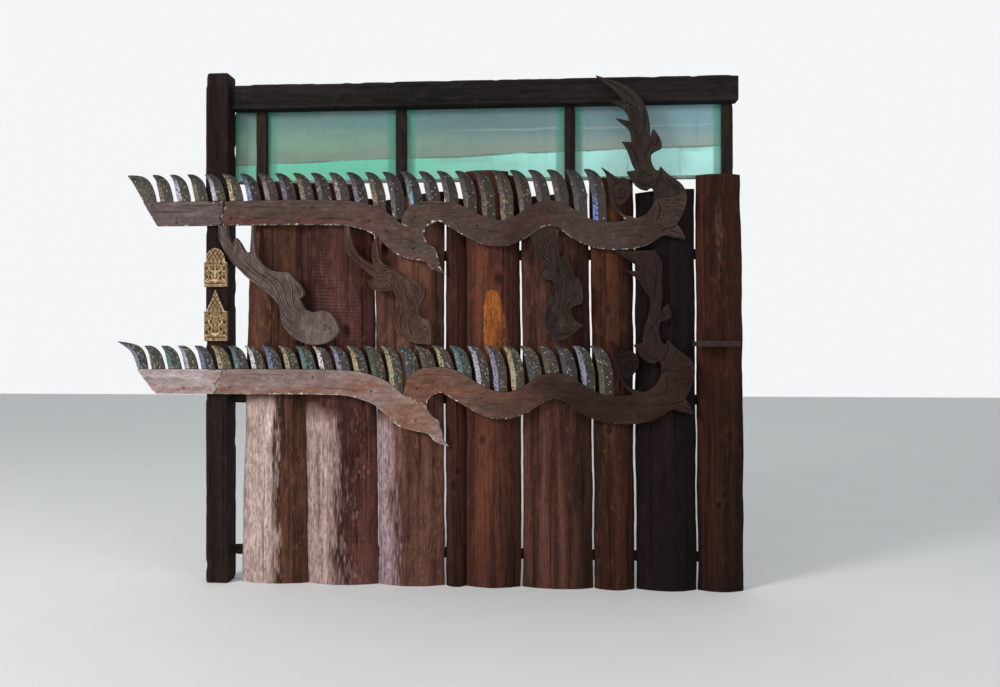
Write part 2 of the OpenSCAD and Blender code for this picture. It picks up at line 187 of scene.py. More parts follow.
world = bpy.data.worlds.new("studio")
bpy.context.scene.world = world
world.use_nodes = True
sky = world.node_tree
sky.nodes.clear()
rays = sky.nodes.new("ShaderNodeLightPath")
lit = sky.nodes.new("ShaderNodeBackground")
lit.inputs["Color"].default_value = (0.93, 0.97, 1.0, 1)
lit.inputs["Strength"].default_value = 0.50
seen = sky.nodes.new("ShaderNodeBackground")
seen.inputs["Color"].default_value = (0.90, 0.92, 0.93, 1)
pick = sky.nodes.new("ShaderNodeMixShader")
shown, glossy, through = [
    Paint(sky, rays.outputs["Is %s Ray" % kind]) for kind in ("Camera", "Glossy", "Transmission")]
chosen = shown.sum("MINIMUM", shown + glossy + through, 1.0)
sky.links.new(chosen.socket, pick.inputs[0])
sky.links.new(lit.outputs[0], pick.inputs[1])
sky.links.new(seen.outputs[0], pick.inputs[2])
sky.links.new(pick.outputs[0], sky.nodes.new("ShaderNodeOutputWorld").inputs[0])

for name, place, power, width in (
        ("left_lamp", (-5.5, -6.8, 6.2), 590, 2.6), ("right_lamp", (6.5, -5.0, 3.6), 90, 3.0)):
    lamp = bpy.data.objects.new(name, bpy.data.lights.new(name, "AREA"))
    lamp.data.energy = power
    lamp.data.size = width
    lamp.location = place
    lamp.rotation_euler = (Vector((1.6, 0, 1.5)) - lamp.location).to_track_quat("-Z", "Y").to_euler()
    bpy.context.scene.collection.objects.link(lamp)
floor_mesh = bpy.data.meshes.new("floor")
floor_mesh.from_pydata([(-20, -20, 0), (20, -20, 0), (20, 20, 0), (-20, 20, 0)], [], [(0, 1, 2, 3)])
floor_mesh.materials.append(finish("pale_floor", pale_floor))
floor = bpy.data.objects.new("floor", floor_mesh)
bpy.context.scene.collection.objects.link(floor)


# Post, studs, head beam and rails: square-sawn hardwood, darkened by age and smoke,
# with arrises knocked round. The studs stand behind the slabs and the rails tie them.
def mottle(x, z, size, seed):
    """Value noise from 0 to 1: random heights on a net of squares, joined by smooth steps."""
    net = np.random.default_rng(seed).random((64, 64))
    u, v = x / size, z / size
    i, j = np.floor(u).astype(int), np.floor(v).astype(int)
    s, t = u - i, v - j
    s, t = s * s * (3 - 2 * s), t * t * (3 - 2 * t)
    low = net[i % 64, j % 64] * (1 - s) + net[(i + 1) % 64, j % 64] * s
    high = net[i % 64, (j + 1) % 64] * (1 - s) + net[(i + 1) % 64, (j + 1) % 64] * s
    return low * (1 - t) + high * t


def climb(value, start, width):
    """0 up to a start, then evenly up to 1 over a width; a width below 0 turns it round."""
    return np.clip((value - start) / width, 0, 1)


def bell(gap, width):
    """1 where there is no gap, fading on both sides of it over about a width."""
    return np.exp(-(gap / width) ** 2)


def tube(rows, n, first=0):
    """The point numbers of rows that each close on themselves, and the quads between them."""
    index = first + np.arange(rows * n).reshape(rows, n)
    a, b = index[:-1], np.roll(index, -1, axis=1)[:-1]
    return index, np.stack([a, b, b + n, a + n], -1).reshape(-1, 4)


def piece(name, points, quads, corners, material, nodes, marks=None, grain=None):
    """A mesh object at the origin, made of quads and triangles, that stands for CAD nodes.

    marks is a colour for each point: how dark it is from hollows, cuts and painted shade, how
    worn it is, with painted highlights on carved lips and beads, how painted or stained it is
    and how much white ground it has. grain is a vector for each point: across the grain
    twice, from the heart of the log, and along it.
    """
    mesh = bpy.data.meshes.new(name)
    mesh.vertices.add(len(points))
    mesh.vertices.foreach_set("co", np.asarray(points, float).ravel())
    quads = np.asarray(quads, int).reshape(-1, 4)
    corners = np.asarray(corners, int).reshape(-1, 3)
    loops = np.concatenate([quads.ravel(), corners.ravel()])
    sizes = np.concatenate([np.full(len(quads), 4), np.full(len(corners), 3)])
    mesh.loops.add(len(loops))
    mesh.loops.foreach_set("vertex_index", loops)
    mesh.polygons.add(len(sizes))
    mesh.polygons.foreach_set("loop_start", np.concatenate([[0], np.cumsum(sizes)[:-1]]))
    mesh.polygons.foreach_set("use_smooth", np.ones(len(sizes), bool))
    mesh.update(calc_edges=True)
    mesh.validate()
    mesh.set_sharp_from_angle(angle=math.radians(50))
    if marks is not None:
        mesh.attributes.new("marks", "FLOAT_COLOR", "POINT").data.foreach_set("color", marks.ravel())
    if grain is not None:
        mesh.attributes.new("grain", "FLOAT_VECTOR", "POINT").data.foreach_set("vector", grain.ravel())
    mesh.materials.append(material)
    made = bpy.data.objects.new(name, mesh)
    bpy.context.scene.collection.objects.link(made)
    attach(made, "root")
    if nodes:
        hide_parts(*nodes)
    return made


def wood(name, dark, middle, light, stain=(90, 80, 75), streaks=14.0, cracked=1.0):
    """Old timber: streaks and fibres along the grain, rings round the heart, fine cracks.

    Its four colours are screen values.
    """
    dark, middle, light, stain = [rgb(*shade) for shade in (dark, middle, light, stain)]

    def build(start):
        grain = start.given("grain", 1)
        marks = start.given("marks")
        hollow_and_shade, worn, stained = marks.part(0), marks.part(1), marks.part(2)
        drift = grain.noise(5, 5, 0.7, 2)
        streak = grain.noise(streaks, streaks, 0.55, 5, 0.62, 0.4)
        fibre = grain.noise(190, 190, 5, 3, 0.6)
        bark = grain.noise(24, 24, 9, 5, 0.62, 0.5, 2.3)
        fleck = grain.noise(95, 95, 14, 3, 0.6, 0.3, 6.1).ramp(0.54, 0.66) * 0.34
        heart = grain.node("ShaderNodeVectorMath", {"operation": "LENGTH"},
                           {0: grain.stretched(1, 1, 0)}, 1)
        rings = ((heart + drift * 0.05) * 520).sine() * 0.5 + 0.5
        crack = (grain.noise(34, 34, 0.9, 3, 0.5) - 0.5).size().ramp(0.004, 0.016, cracked, 0.0)
        crack = crack * grain.noise(4, 4, 0.8, 1).ramp(0.46, 0.6)
        base = streak.ramp(0.30, 0.70).mix(dark, light)
        base = drift.ramp(0.35, 0.65).mix(base, (streak.ramp(0.35, 0.62)).mix(dark, middle))
        base = (bark.ramp(0.5, 0.68) * 0.55).mix(base, light)
        base = (bark.ramp(0.46, 0.3) * 0.5).mix(base, dark)
        base = (worn * 0.55).mix(base, light)
        base = (stained * (streak * 0.5 + bark * 0.5).ramp(0.34, 0.62, 1.0, 0.6)).mix(base, stain)
        # Darker where hollows, cracks and a slab's painted shade are marked.
        shade = (0.74 + 0.34 * fibre) * (0.90 + 0.16 * rings) * (1 - 0.75 * crack) * (1 - 0.72 * hollow_and_shade)
        crackle = grain.noise(66, 66, 21, 4, 0.66, 0.35, 4.4).ramp(0.44, 0.62)
        shade = shade * (1 - fleck) * (1 - 0.42 * crackle * (0.25 + 0.75 * stained))
        height = fibre * 0.35 + rings * 0.18 + streak * 0.4 + bark * 0.7 - crack * 1.6 - fleck * 1.2
        height = height - crackle * (0.3 + stained)
        return {"Base Color": base.shaded(shade), "Normal": height.bump(0.55, 0.0035),
                "Roughness": (0.66 + 0.28 * (1 - fibre) - 0.1 * worn).ramp(0, 1, 0, 1)}
    return finish(name, build, Specular_IOR_Level=0.15)


def sawn_timber(node, material, round_over, step, seed):
    """A square timber: a rounded square profile carried along its length.

    Each ring sinks a little by soft noise, and the arrises sink more where they are
    knocked, so the timber never stands out of the box it fills.
    """
    low, high = [np.array(corner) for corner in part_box(node)]
    along = int(np.argmax(high - low))
    across = [(along + 1) % 3, (along + 2) % 3]
    half = (high - low)[across] / 2
    middle = (high + low)[across] / 2
    turn = np.arange(4)[:, None] * math.pi / 2 + np.linspace(0, math.pi / 2, 4)
    corners = np.array([(1, 1), (-1, 1), (-1, -1), (1, -1)]) * (half - round_over)
    arcs = corners[:, None] + round_over * np.stack([np.cos(turn), np.sin(turn)], -1)
    share = np.array([0.12, 0.35, 0.65, 0.88])[:, None]
    flats = arcs[:, -1:] * (1 - share) + np.roll(arcs, -1, axis=0)[:, :1] * share
    profile = np.concatenate([arcs, flats], 1).reshape(-1, 2)
    edge = np.tile(np.repeat([1.0, 0.0], 4), 4)
    n, count = len(profile), max(3, int((high - low)[along] / step))
    way, ring = np.meshgrid(
        np.linspace(low[along], high[along], count), np.arange(n), indexing="ij")
    knock = np.clip(mottle(way, ring * 0.013, 0.06, seed + 1) - 0.62, 0, 1) * 0.022 * edge
    end = np.minimum(way - low[along], high[along] - way) < 1e-6
    sink = 0.0016 * mottle(way, ring * 0.11, 0.11, seed) + knock + 0.004 * end
    points = np.zeros((count, n, 3))
    points[..., along] = way
    points[..., across] = middle + profile * (1 - sink[..., None] / half)
    index, quads = tube(count, n)
    flat = points.reshape(-1, 3)
    flat = np.concatenate([flat, [flat[:n].mean(0), flat[-n:].mean(0)]])
    hub = np.full(n, count * n)
    caps = np.concatenate([
        np.stack([hub, np.roll(index[0], -1), index[0]], -1),
        np.stack([hub + 1, index[-1], np.roll(index[-1], -1)], -1)])
    marks = np.zeros((len(flat), 4))
    marks[:-2, 1] = np.clip(edge * 0.5 + knock * 40, 0, 1).ravel()
    grain = flat[:, [*across, along]] + [
        0.03 * math.sin(seed * 2.1) - middle[0], 0.03 * math.cos(seed * 1.3) - middle[1], seed * 0.7]
    piece(node + "_timber", flat, quads, caps, material, [node], marks, grain)


post_wood = wood("post_wood", (20, 12, 10), (34, 22, 19), (54, 37, 33))
frame_wood = wood("frame_wood", (20, 15, 12), (38, 30, 23), (58, 48, 38))
beam_wood = wood("beam_wood", (17, 14, 14), (30, 26, 25), (48, 42, 40))
sawn_timber("corner_post", post_wood, 0.012, 0.025, 3)
for number in range(1, 5):
    sawn_timber("stud_%d" % number, frame_wood, 0.005, 0.04, 10 + number)
for number, node in enumerate(("rail_low", "rail_middle", "rail_high")):
    sawn_timber(node, frame_wood, 0.004, 0.04, 20 + number)
sawn_timber("head_beam", beam_wood, 0.008, 0.03, 30)


# Slabs: the outer cuts of logs, stood on end side by side with slits between them. Their
# backs are sawn flat, their fronts keep the log's round and its wavy, barked edges.
def probe(node):
    """The first hit of a ray on a CAD node, or None."""
    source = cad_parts[node].data
    tree = BVHTree.FromPolygons(
        [tuple(v.co) for v in source.vertices], [tuple(p.vertices) for p in source.polygons])
    return lambda place, way: tree.ray_cast(Vector(place), Vector(way))[0]


# Each slab's dark, middle and light wood and its stain. The pale stains of slabs 1 to 3 are partly painted
# daylight; slab 8's very dark wood is painted shade.
slab_tints = {
    1: ((58, 36, 28), (92, 59, 45), (128, 84, 60), (246, 216, 206)),
    2: ((62, 34, 32), (90, 51, 47), (120, 74, 64), (222, 188, 182)),
    3: ((70, 44, 37), (102, 66, 55), (134, 90, 73), (212, 182, 188)),
    4: ((46, 25, 21), (68, 37, 31), (90, 52, 41), (60, 36, 30)),
    5: ((60, 33, 27), (90, 50, 41), (116, 68, 50), (212, 124, 54)),
    6: ((56, 32, 27), (88, 52, 43), (114, 72, 58), (60, 36, 30)),
    7: ((50, 27, 19), (75, 42, 29), (102, 61, 38), (60, 36, 30)),
    8: ((18, 10, 9), (27, 15, 14), (39, 24, 22), (44, 30, 28)),
    9: ((42, 22, 15), (62, 32, 22), (88, 48, 32), (118, 84, 66)),
}
slab_step_x = {2: 0.925, 5: 1.885}


def bleached_sunlit_foot(top, side, flecked=0.0):
    """A slab's lower part, pale on its left, bleached by daylight and painted paler for the daylight falling
    on it, with rough bark on its right.
    """
    def change(x, z, across):
        low = np.clip((top - z) / 0.12 + 0.6 * (mottle(x, z, 0.09, 71) - 0.5), 0, 1)
        fray = 0.8 * (mottle(x * 2, z * 0.35, 0.05, 72) - 0.5)
        fray = fray + 0.9 * (mottle(x * 3, z * 0.4, 0.017, 86) - 0.5)
        pale = low * np.clip((side - across) / 0.2 + fray, 0, 1)
        ridge = np.abs(mottle(x * 2.4 + 0.05 * mottle(x, z, 0.03, 73), z * 0.45, 0.019, 74) - 0.5) * 2
        bark = low * climb(across, side, 0.1) * climb(across, 0.97, -0.05)
        cut = bark * np.clip(1 - ridge * 2.4, 0, 1) * np.clip(2.4 * mottle(x, z * 0.5, 0.05, 83) - 0.6, 0, 1)
        flecks = bark * climb(mottle(x * 2.2, z * 0.45, 0.013, 84), 0.6, 0.2)
        flecks = flecks * np.clip(3 * mottle(x, z * 0.4, 0.06, 85) - 1.2, 0, 1)
        return 0.007 * cut, 0.55 * cut, np.maximum(0.95 * pale, flecked * flecks)
    return change


def saw_marks(x, z, across):
    """The second slab: level saw cuts over its flat upper part, over a foot that is bleached and painted
    paler for daylight.
    """
    deep, dark, pale = bleached_sunlit_foot(1.16, 0.52, 0.45)(x, z, across)
    field = climb(z, 1.50, 0.1) * climb(across, 0.10, 0.08)
    field = field * climb(across, 0.86, -0.1) * (0.35 + 0.8 * mottle(x, z * 0.3, 0.12, 76))
    field = field * np.interp(z, (1.8, 2.15), (1.0, 0.35))
    turn = (z + 0.020 * mottle(x * 0.6, z, 0.11, 82)) / 0.0225
    line = 0.5 + 0.5 * np.sin(2 * math.pi * turn)
    cut = field * line ** 3 * np.clip(1.6 * mottle(x * 0.5, z, 0.045, 75) - 0.2, 0, 1)
    rubbed = field * (1 - line) ** 3
    deep = deep + 0.003 * cut + 0.003 * field
    return deep, np.maximum(dark, 0.34 * cut), np.maximum(pale, 0.09 * rubbed)


def flayed_patch(x, z, across):
    """The fifth slab: a tall patch where the bark was flayed off, orange, redder low right."""
    left = 1.730 + 0.03 * climb(z, 1.80, 0.09) ** 3
    right = np.interp(
        z, (1.50, 1.60, 1.71, 1.79, 1.87, 1.89), (1.889, 1.886, 1.871, 1.850, 1.832, 1.800))
    inner = np.minimum(x - left, right - x) + 0.008 * (mottle(x * 0.2, z, 0.014, 77) - 0.5)
    patch = np.clip(inner / 0.006, 0, 1) * climb(z, 1.895, -0.01) * climb(z, 1.36, 0.12)
    red = climb(x, 1.775, 0.04) * climb(z, 1.76, -0.14)
    crack = patch * np.clip(mottle(x * 2.5, z * 0.5, 0.016, 78) - 0.66, 0, 1) * 2
    tone = 1.04 - 0.5 * red - 0.6 * mottle(x * 2.5, z * 1.2, 0.016, 79)
    return 0.004 * patch + 0.003 * crack, 0.45 * crack, patch * tone


def rubbed_streak(x, z, across):
    """The last slab: a pale streak rubbed down its middle."""
    away = np.abs(x - 3.205 - 0.02 * (mottle(z, 0 * z, 0.2, 80) - 0.5))
    reach = 0.010 + 0.012 * bell(z - 2.26, 0.12)
    streak = bell(away, reach) * np.exp(-((z - 2.2) / 0.26) ** 4)
    streak = streak * np.clip(3 * mottle(x * 3, z, 0.022, 81) - 1, 0, 1)
    return 0 * x, 0 * x, 0.8 * streak


slab_marks = {1: bleached_sunlit_foot(1.24, 0.60), 2: saw_marks, 3: bleached_sunlit_foot(1.12, 0.34),
              5: flayed_patch, 9: rubbed_streak}


def slab(number):
    """One slab as a grid that wraps its flat back, its two edges and its round front.

    Across, the front follows a power of a sine from edge to edge; up, each row runs from
    one edge of the CAD slab to the other, with small waves, hollows, splits and knots.
    """
    node = "slab_%d" % number
    low, high = [np.array(c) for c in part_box(node)]
    hit = probe(node)
    rows, columns = 240, max(26, int((high[0] - low[0]) / 0.0062))
    middle = (low[0] + high[0]) / 2
    heights = np.linspace(0, 1, rows)
    sides = []
    for f in heights:
        z = 0.004 + f * (high[2] - 0.14)
        left = hit((low[0] - 0.1, -0.006, z), (1, 0, 0))
        right = hit((high[0] + 0.1, -0.006, z), (-1, 0, 0))
        sides.append((left.x, right.x))
    sides = np.array(sides)
    t = np.linspace(0, 1, columns)
    if number in slab_step_x:
        share = (slab_step_x[number] - sides[-1, 0]) / (sides[-1, 1] - sides[-1, 0])
        t = np.sort(np.concatenate([t, [share - 0.0012, share + 0.0012]]))
        columns += 2
    seed = 40 + number * 7
    level, across = heights * high[2], np.tile(t, (rows, 1))
    left = sides[:, 0] + 0.007 * (mottle(level, 0 * level, 0.16, 300 + number) - 0.5)
    right = sides[:, 1] + 0.007 * (mottle(level, 0 * level, 0.16, 301 + number) - 0.5)
    left = left + (-0.0013 if number in (2, 5) else 0.002 * mottle(level, 0 * level, 0.05, seed))
    right = right - (-0.0013 if number in (1, 4) else 0.002 * mottle(level, 0 * level, 0.05, seed + 1))
    x = left[:, None] + (right - left)[:, None] * across
    tops = []
    for f in t:
        place = sides[-1, 0] + (sides[-1, 1] - sides[-1, 0]) * f
        place = min(max(place, sides[-1, 0] + 0.004), sides[-1, 1] - 0.004)
        top = hit((place, -0.007, high[2] + 1), (0, 0, -1))
        tops.append(top.z if top else high[2])
    tops = np.array(tops)
    z = heights[:, None] * tops[None, :]
    bow = np.sin(math.pi * across)
    edge, crest = 0.014, -low[1]
    bulge = edge + (crest - edge) * np.clip(bow, 0, 1) ** 0.75
    long_wave = mottle(x + number, z * 0.16, 0.07, seed + 2)
    broad = mottle(x, z * 0.4, 0.24, seed + 3)
    depth = bulge - 0.009 * (1 - long_wave) * bow ** 0.3 - 0.012 * (1 - broad) * bow
    hollow_and_shade = np.zeros_like(x)
    worn = np.zeros_like(x)
    random = np.random.default_rng(seed)
    for split in range(6):
        start, length = random.uniform(0, high[2]), random.uniform(0.15, 0.8)
        place = random.uniform(0.1, 0.9)
        drift = 0.014 * (mottle(z, z * 0, 0.3, seed + 10 + split) - 0.5)
        line = left[:, None] + (right - left)[:, None] * place + drift
        along = np.clip(1 - np.abs(z - start) / length, 0, 1) ** 0.5
        cut = along * bell(x - line, 0.0028 + 0.002 * along)
        depth = depth - cut * 0.008
        hollow_and_shade = np.maximum(hollow_and_shade, 0.8 * cut)
    for knot in range(int(random.integers(1, 4))):
        clear = min(0.07, (right.max() - left.min()) / 3)
        centre = (random.uniform(left.min() + clear, right.max() - clear), random.uniform(0.2, 2.3))
        reach = random.uniform(0.018, 0.034)
        far = np.hypot((x - centre[0]) / reach, (z - centre[1]) / (reach * 1.6))
        depth = depth + 0.007 * bell(far, 1.6) - 0.007 * np.exp(-(far * 2.2) ** 2)
        hollow_and_shade = np.maximum(hollow_and_shade, 0.8 * np.exp(-(far / 0.75) ** 4))
        worn = np.maximum(worn, 0.5 * bell(far - 1.3, 0.5))
    top_wear = np.clip(1 - (tops[None, :] - z) / 0.02, 0, 1) ** 2
    depth = depth * (1 - 0.08 * top_wear)
    stain = np.zeros_like(x)
    if number in slab_marks:
        change, dark, stain = slab_marks[number](x, z, across)
        depth = depth - change
        hollow_and_shade = np.maximum(hollow_and_shade, dark)
    depth = np.clip(depth, edge * 0.6, crest)
    # Darker rims at both edges: bark, and painted shade where the log's round turns away.
    rim = np.exp(-np.minimum(across, 1 - across) * (right - left)[:, None] / 0.018)
    # Painted shade: a darker right side (partly bark), a darker foot below 0.5 m on slabs 4 to 9 and a darker
    # part below 1.42 m on slab 9; slabs 1 to 3 darken less on the right below 1.3 m.
    turned = {1: 0.35, 2: 0.1, 5: 0.7, 6: 0.7, 7: 0.55}.get(number, 0.3)
    bark_and_shade = turned * climb(across, 0.55, 0.3) + 0.25 * climb(z, 0.5, -0.45) * (number > 3)
    bark_and_shade = bark_and_shade + 0.4 * climb(z, 1.42, -0.3) * (number == 9)
    if number < 4:
        bark_and_shade = bark_and_shade * np.interp(z, (0.9, 1.3), (0.15, 1.0))
    hollow_and_shade = np.clip(hollow_and_shade + 0.55 * rim + bark_and_shade * (1 - np.clip(2 * stain, 0, 1)), 0, 1)
    front = np.stack([x, -depth, z], -1)
    back_t = np.linspace(1, 0, 9)
    back_x = left[:, None] + (right - left)[:, None] * back_t[None, :]
    back_z = heights[:, None] * np.interp(back_t, t, tops)[None, :]
    back = np.stack([back_x, np.zeros_like(back_x), back_z], -1)
    grid = np.concatenate([front, back], 1)
    n = grid.shape[1]
    index, quads = tube(rows, n)
    caps = []
    for row, flip in ((0, 1), (rows - 1, -1)):
        ring, rear = index[row, :columns], index[row, columns + np.round((1 - t) * 8).astype(int)]
        wide = np.stack([ring[1:], rear[:-1], rear[1:]], -1)[rear[1:] != rear[:-1]]
        caps.append(np.stack([ring[:-1], rear[:-1], ring[1:]], -1)[:, ::flip])
        caps.append(wide[:, ::flip])
    flat = grid.reshape(-1, 3)
    marks = np.zeros((rows, n, 4))
    marks[:, :columns, 0] = hollow_and_shade
    marks[:, :columns, 1] = np.clip(worn + 0.5 * top_wear, 0, 1)
    marks[:, :columns, 2] = stain
    marks[:, columns:, 0] = 0.1
    grain = np.stack([flat[:, 0] - middle + 0.02 * math.sin(number), flat[:, 1] - 0.05,
                      flat[:, 2] + number * 3.1], -1)
    material = wood("slab_wood_%d" % number, *slab_tints[number], streaks=15.0, cracked=0.5)
    piece(node + "_wood", flat, quads, np.concatenate(caps), material, [node],
          marks.reshape(-1, 4), grain)


for number in range(1, 10):
    slab(number)


# Naga boards: each bargeboard is a thick plank in four lengths, sawn to the outline of a
# serpent that rises in waves to its head. Its red paint and the white ground under it have
# mostly gone; nails hold the lengths on the slabs.
def outline(node):
    """The edges of a board's flat back as (start, end) rows of (x, z), and its two planes.

    An edge counts where just one triangle of the back has it; seen from the front, the
    board is on the right of each edge.
    """
    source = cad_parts[node].data
    points = np.empty(len(source.vertices) * 3)
    source.vertices.foreach_get("co", points)
    points = points.reshape(-1, 3)
    source.calc_loop_triangles()
    triangles = np.empty(len(source.loop_triangles) * 3, np.int32)
    source.loop_triangles.foreach_get("vertices", triangles)
    back, front = points[:, 1].max(), points[:, 1].min()
    rounded, same = np.unique(np.round(points, 5), axis=0, return_inverse=True)
    triangles = same.ravel()[triangles].reshape(-1, 3)
    triangles = triangles[(rounded[triangles][:, :, 1] > back - 2e-5).all(1)]
    halves = np.concatenate([triangles[:, [0, 1]], triangles[:, [1, 2]], triangles[:, [2, 0]]])
    both = {(a, b) for a, b in halves.tolist()}
    single = np.array([(a, b) for a, b in halves.tolist() if (b, a) not in both])
    return rounded[single[:, 0]][:, [0, 2]], rounded[single[:, 1]][:, [0, 2]], back, front


def nearest_edge(x, z, start, end):
    """How far each place is from the nearest of many straight edges, and which one it is."""
    far, which = np.empty(len(x)), np.empty(len(x), int)
    way = end - start
    length = np.maximum((way ** 2).sum(1), 1e-12)
    for part in np.array_split(np.arange(len(x)), len(x) * len(start) // 1500000 + 1):
        dx, dz = x[part, None] - start[None, :, 0], z[part, None] - start[None, :, 1]
        t = np.clip((dx * way[:, 0] + dz * way[:, 1]) / length, 0, 1)
        gap = (dx - t * way[:, 0]) ** 2 + (dz - t * way[:, 1]) ** 2
        which[part] = gap.argmin(1)
        far[part] = np.sqrt(gap.min(1))
    return far, which


def inside(x, z, start, end):
    """Whether each place is inside: a line to the right of it crosses an odd number of edges."""
    odd = np.zeros(len(x), bool)
    for (x0, z0), (x1, z1) in zip(start, end):
        if z0 != z1:
            crosses = (z0 > z) != (z1 > z)
            odd ^= crosses & (x < x0 + (z - z0) * (x1 - x0) / (z1 - z0))
    return odd


def curve(points, steps=5):
    """A smooth line through points in millimetres, in metres: cubic pieces, Catmull-Rom."""
    p = np.array(points, float) / 1000
    p = np.concatenate([[2 * p[0] - p[1]], p, [2 * p[-1] - p[-2]]])
    t = np.linspace(0, 1, steps, endpoint=False)[None, :, None]
    a, b, c, d = p[:-3, None], p[1:-2, None], p[2:-1, None], p[3:, None]
    line = b + 0.5 * t * ((c - a) + t * ((2 * a - 5 * b + 4 * c - d) + t * (3 * (b - c) + d - a)))
    return np.concatenate([line.reshape(-1, 2), p[-2:-1]])


def line_gap(x, z, line):
    """Distance to a line through points, and the place along it, from 0 to 1, that is nearest."""
    gap, which = nearest_edge(x, z, line[:-1], line[1:])
    return gap, (which + 0.5) / (len(line) - 1)


def groove_field(x, z, lines):
    """Distance to the nearest carved line, kept larger towards a line's two ends."""
    far = np.full(len(x), 1.0)
    for line in lines:
        gap, place = line_gap(x, z, line)
        far = np.minimum(far, gap + 0.012 * np.abs(2 * place - 1) ** 6)
    return far


def relief(node, carve, material, spacing=0.0046, round_over=0.004,
           upright=False):
    """A board with a carved face: points on a net inside its outline, joined by triangles.

    carve gives for each point how deep it lies under the CAD face, and its marks, from
    its place, its distance to the outline and whether its nearest edge is a lower one.
    The edge is rounded as a quarter circle and the sides and back are plain.
    """
    name = node.replace("_block", "").replace("_board", "") + "_carved"
    start, end, back, front = outline(node)
    count = np.maximum(1, np.ceil(np.hypot(*(end - start).T) / spacing).astype(int))
    rim, corner, links = [], {}, []
    for (a, b), n in zip(zip(start, end), count):
        for k in range(n):
            key = tuple(np.round(a + (b - a) * k / n, 6))
            if key not in corner:
                corner[key] = len(rim)
                rim.append(a + (b - a) * k / n)
    for (a, b), n in zip(zip(start, end), count):
        keys = [corner[tuple(np.round(a + (b - a) * k / n, 6))] for k in range(n)]
        keys.append(corner[tuple(np.round(b, 6))])
        links += list(zip(keys[:-1], keys[1:]))
    rim, links = np.array(rim), np.array(links)
    way = rim[links[:, 1]] - rim[links[:, 0]]
    inward = np.zeros_like(rim)
    side = np.stack([way[:, 1], -way[:, 0]], -1) / np.maximum(np.hypot(*way.T), 1e-9)[:, None]
    np.add.at(inward, links[:, 0], side)
    np.add.at(inward, links[:, 1], side)
    inward /= np.maximum(np.hypot(*inward.T), 1e-9)[:, None]
    inner = []
    for reach in (0.35 * round_over, round_over):
        ring = rim + inward * reach
        far, _ = nearest_edge(ring[:, 0], ring[:, 1], start, end)
        keep = (far > 0.85 * reach) & inside(ring[:, 0], ring[:, 1], start, end)
        inner.append(ring[keep])
    low, high = rim.min(0), rim.max(0)
    columns, rows = ((high - low) / spacing / (1, 0.866)).astype(int) + 2
    column, row = np.mgrid[0:columns, 0:rows].reshape(2, -1)
    net_x = low[0] + (column + 0.5 * (row % 2)) * spacing
    net_z = low[1] + row * spacing * 0.866
    keep = inside(net_x, net_z, start, end)
    net_x, net_z = net_x[keep], net_z[keep]
    far, _ = nearest_edge(net_x, net_z, start, end)
    keep = far > round_over + 0.45 * spacing
    inner.append(np.stack([net_x[keep], net_z[keep]], -1))
    flat = np.concatenate([rim] + inner)
    made, _, faces, source, _, _ = delaunay_2d_cdt(
        [Vector(p) for p in flat.tolist()], links.tolist(), [], 2, 1e-7)
    made = np.array([tuple(p) for p in made])
    faces = np.array(faces)
    where = np.zeros(len(flat), int)
    for index, given in enumerate(source):
        for k in given:
            where[k] = index
    links = where[links]
    far, which = nearest_edge(made[:, 0], made[:, 1], start, end)
    edge_way = end - start
    lower = (-edge_way[which, 0] / np.maximum(np.hypot(*edge_way[which].T), 1e-9)) > 0.2
    sink, marks = carve(made[:, 0], made[:, 1], far, lower)
    share = np.clip(1 - far / round_over, 0, 1)
    sink = sink + round_over * (1 - np.sqrt(np.clip(1 - share ** 2, 0, 1)))
    sink = np.clip(sink, 0, back - front - 0.008)
    n = len(made)
    used = np.unique(links)
    behind = np.full(n, -1)
    behind[used] = n + np.arange(len(used))
    points = np.concatenate([
        np.stack([made[:, 0], front + sink, made[:, 1]], -1),
        np.stack([made[used, 0], np.full(len(used), back), made[used, 1]], -1)])
    walls = np.stack([behind[links[:, 1]], behind[links[:, 0]], links[:, 0], links[:, 1]], -1)
    order = {k: i for i, k in enumerate(used)}
    _, _, cap, cap_source, _, _ = delaunay_2d_cdt(
        [Vector(p) for p in made[used].tolist()],
        [(order[a], order[b]) for a, b in links.tolist()], [], 2, 1e-7)
    cap_where = np.array([given[0] for given in cap_source])
    cap = n + cap_where[np.array(cap)][:, ::-1]
    marks = np.concatenate([marks, np.tile([0.25, 0, 0, 0.3], (len(used), 1))])
    middle = (low + high) / 2
    across, along = (0, 1) if upright else (1, 0)
    grain = np.stack([points[:, (0, 2)[across]] - middle[across] * 0.8 - 0.07, points[:, 1] + 0.03,
                      points[:, (0, 2)[along]] + 7.3 * len(name)], -1)
    piece(name, points, walls, np.concatenate([faces, cap]), material, [node], marks, grain)


def splits(x, z, lines):
    """How open cracks along given lines are, closing towards both ends."""
    cut = np.zeros(len(x))
    for line in lines:
        gap, place = line_gap(x, z, line)
        cut = np.maximum(cut, bell(gap, 0.0022) * np.clip(4 * np.minimum(place, 1 - place), 0, 1))
    return cut


def nail_holes(x, z, holes, reach):
    """Pits at holes given in millimetres: their sum, and the deepest one at each place."""
    pits = [bell(np.hypot(x - a / 1000, z - b / 1000), reach) for a, b in holes]
    return np.sum([0 * x] + pits, 0), np.max([0 * x] + pits, 0)


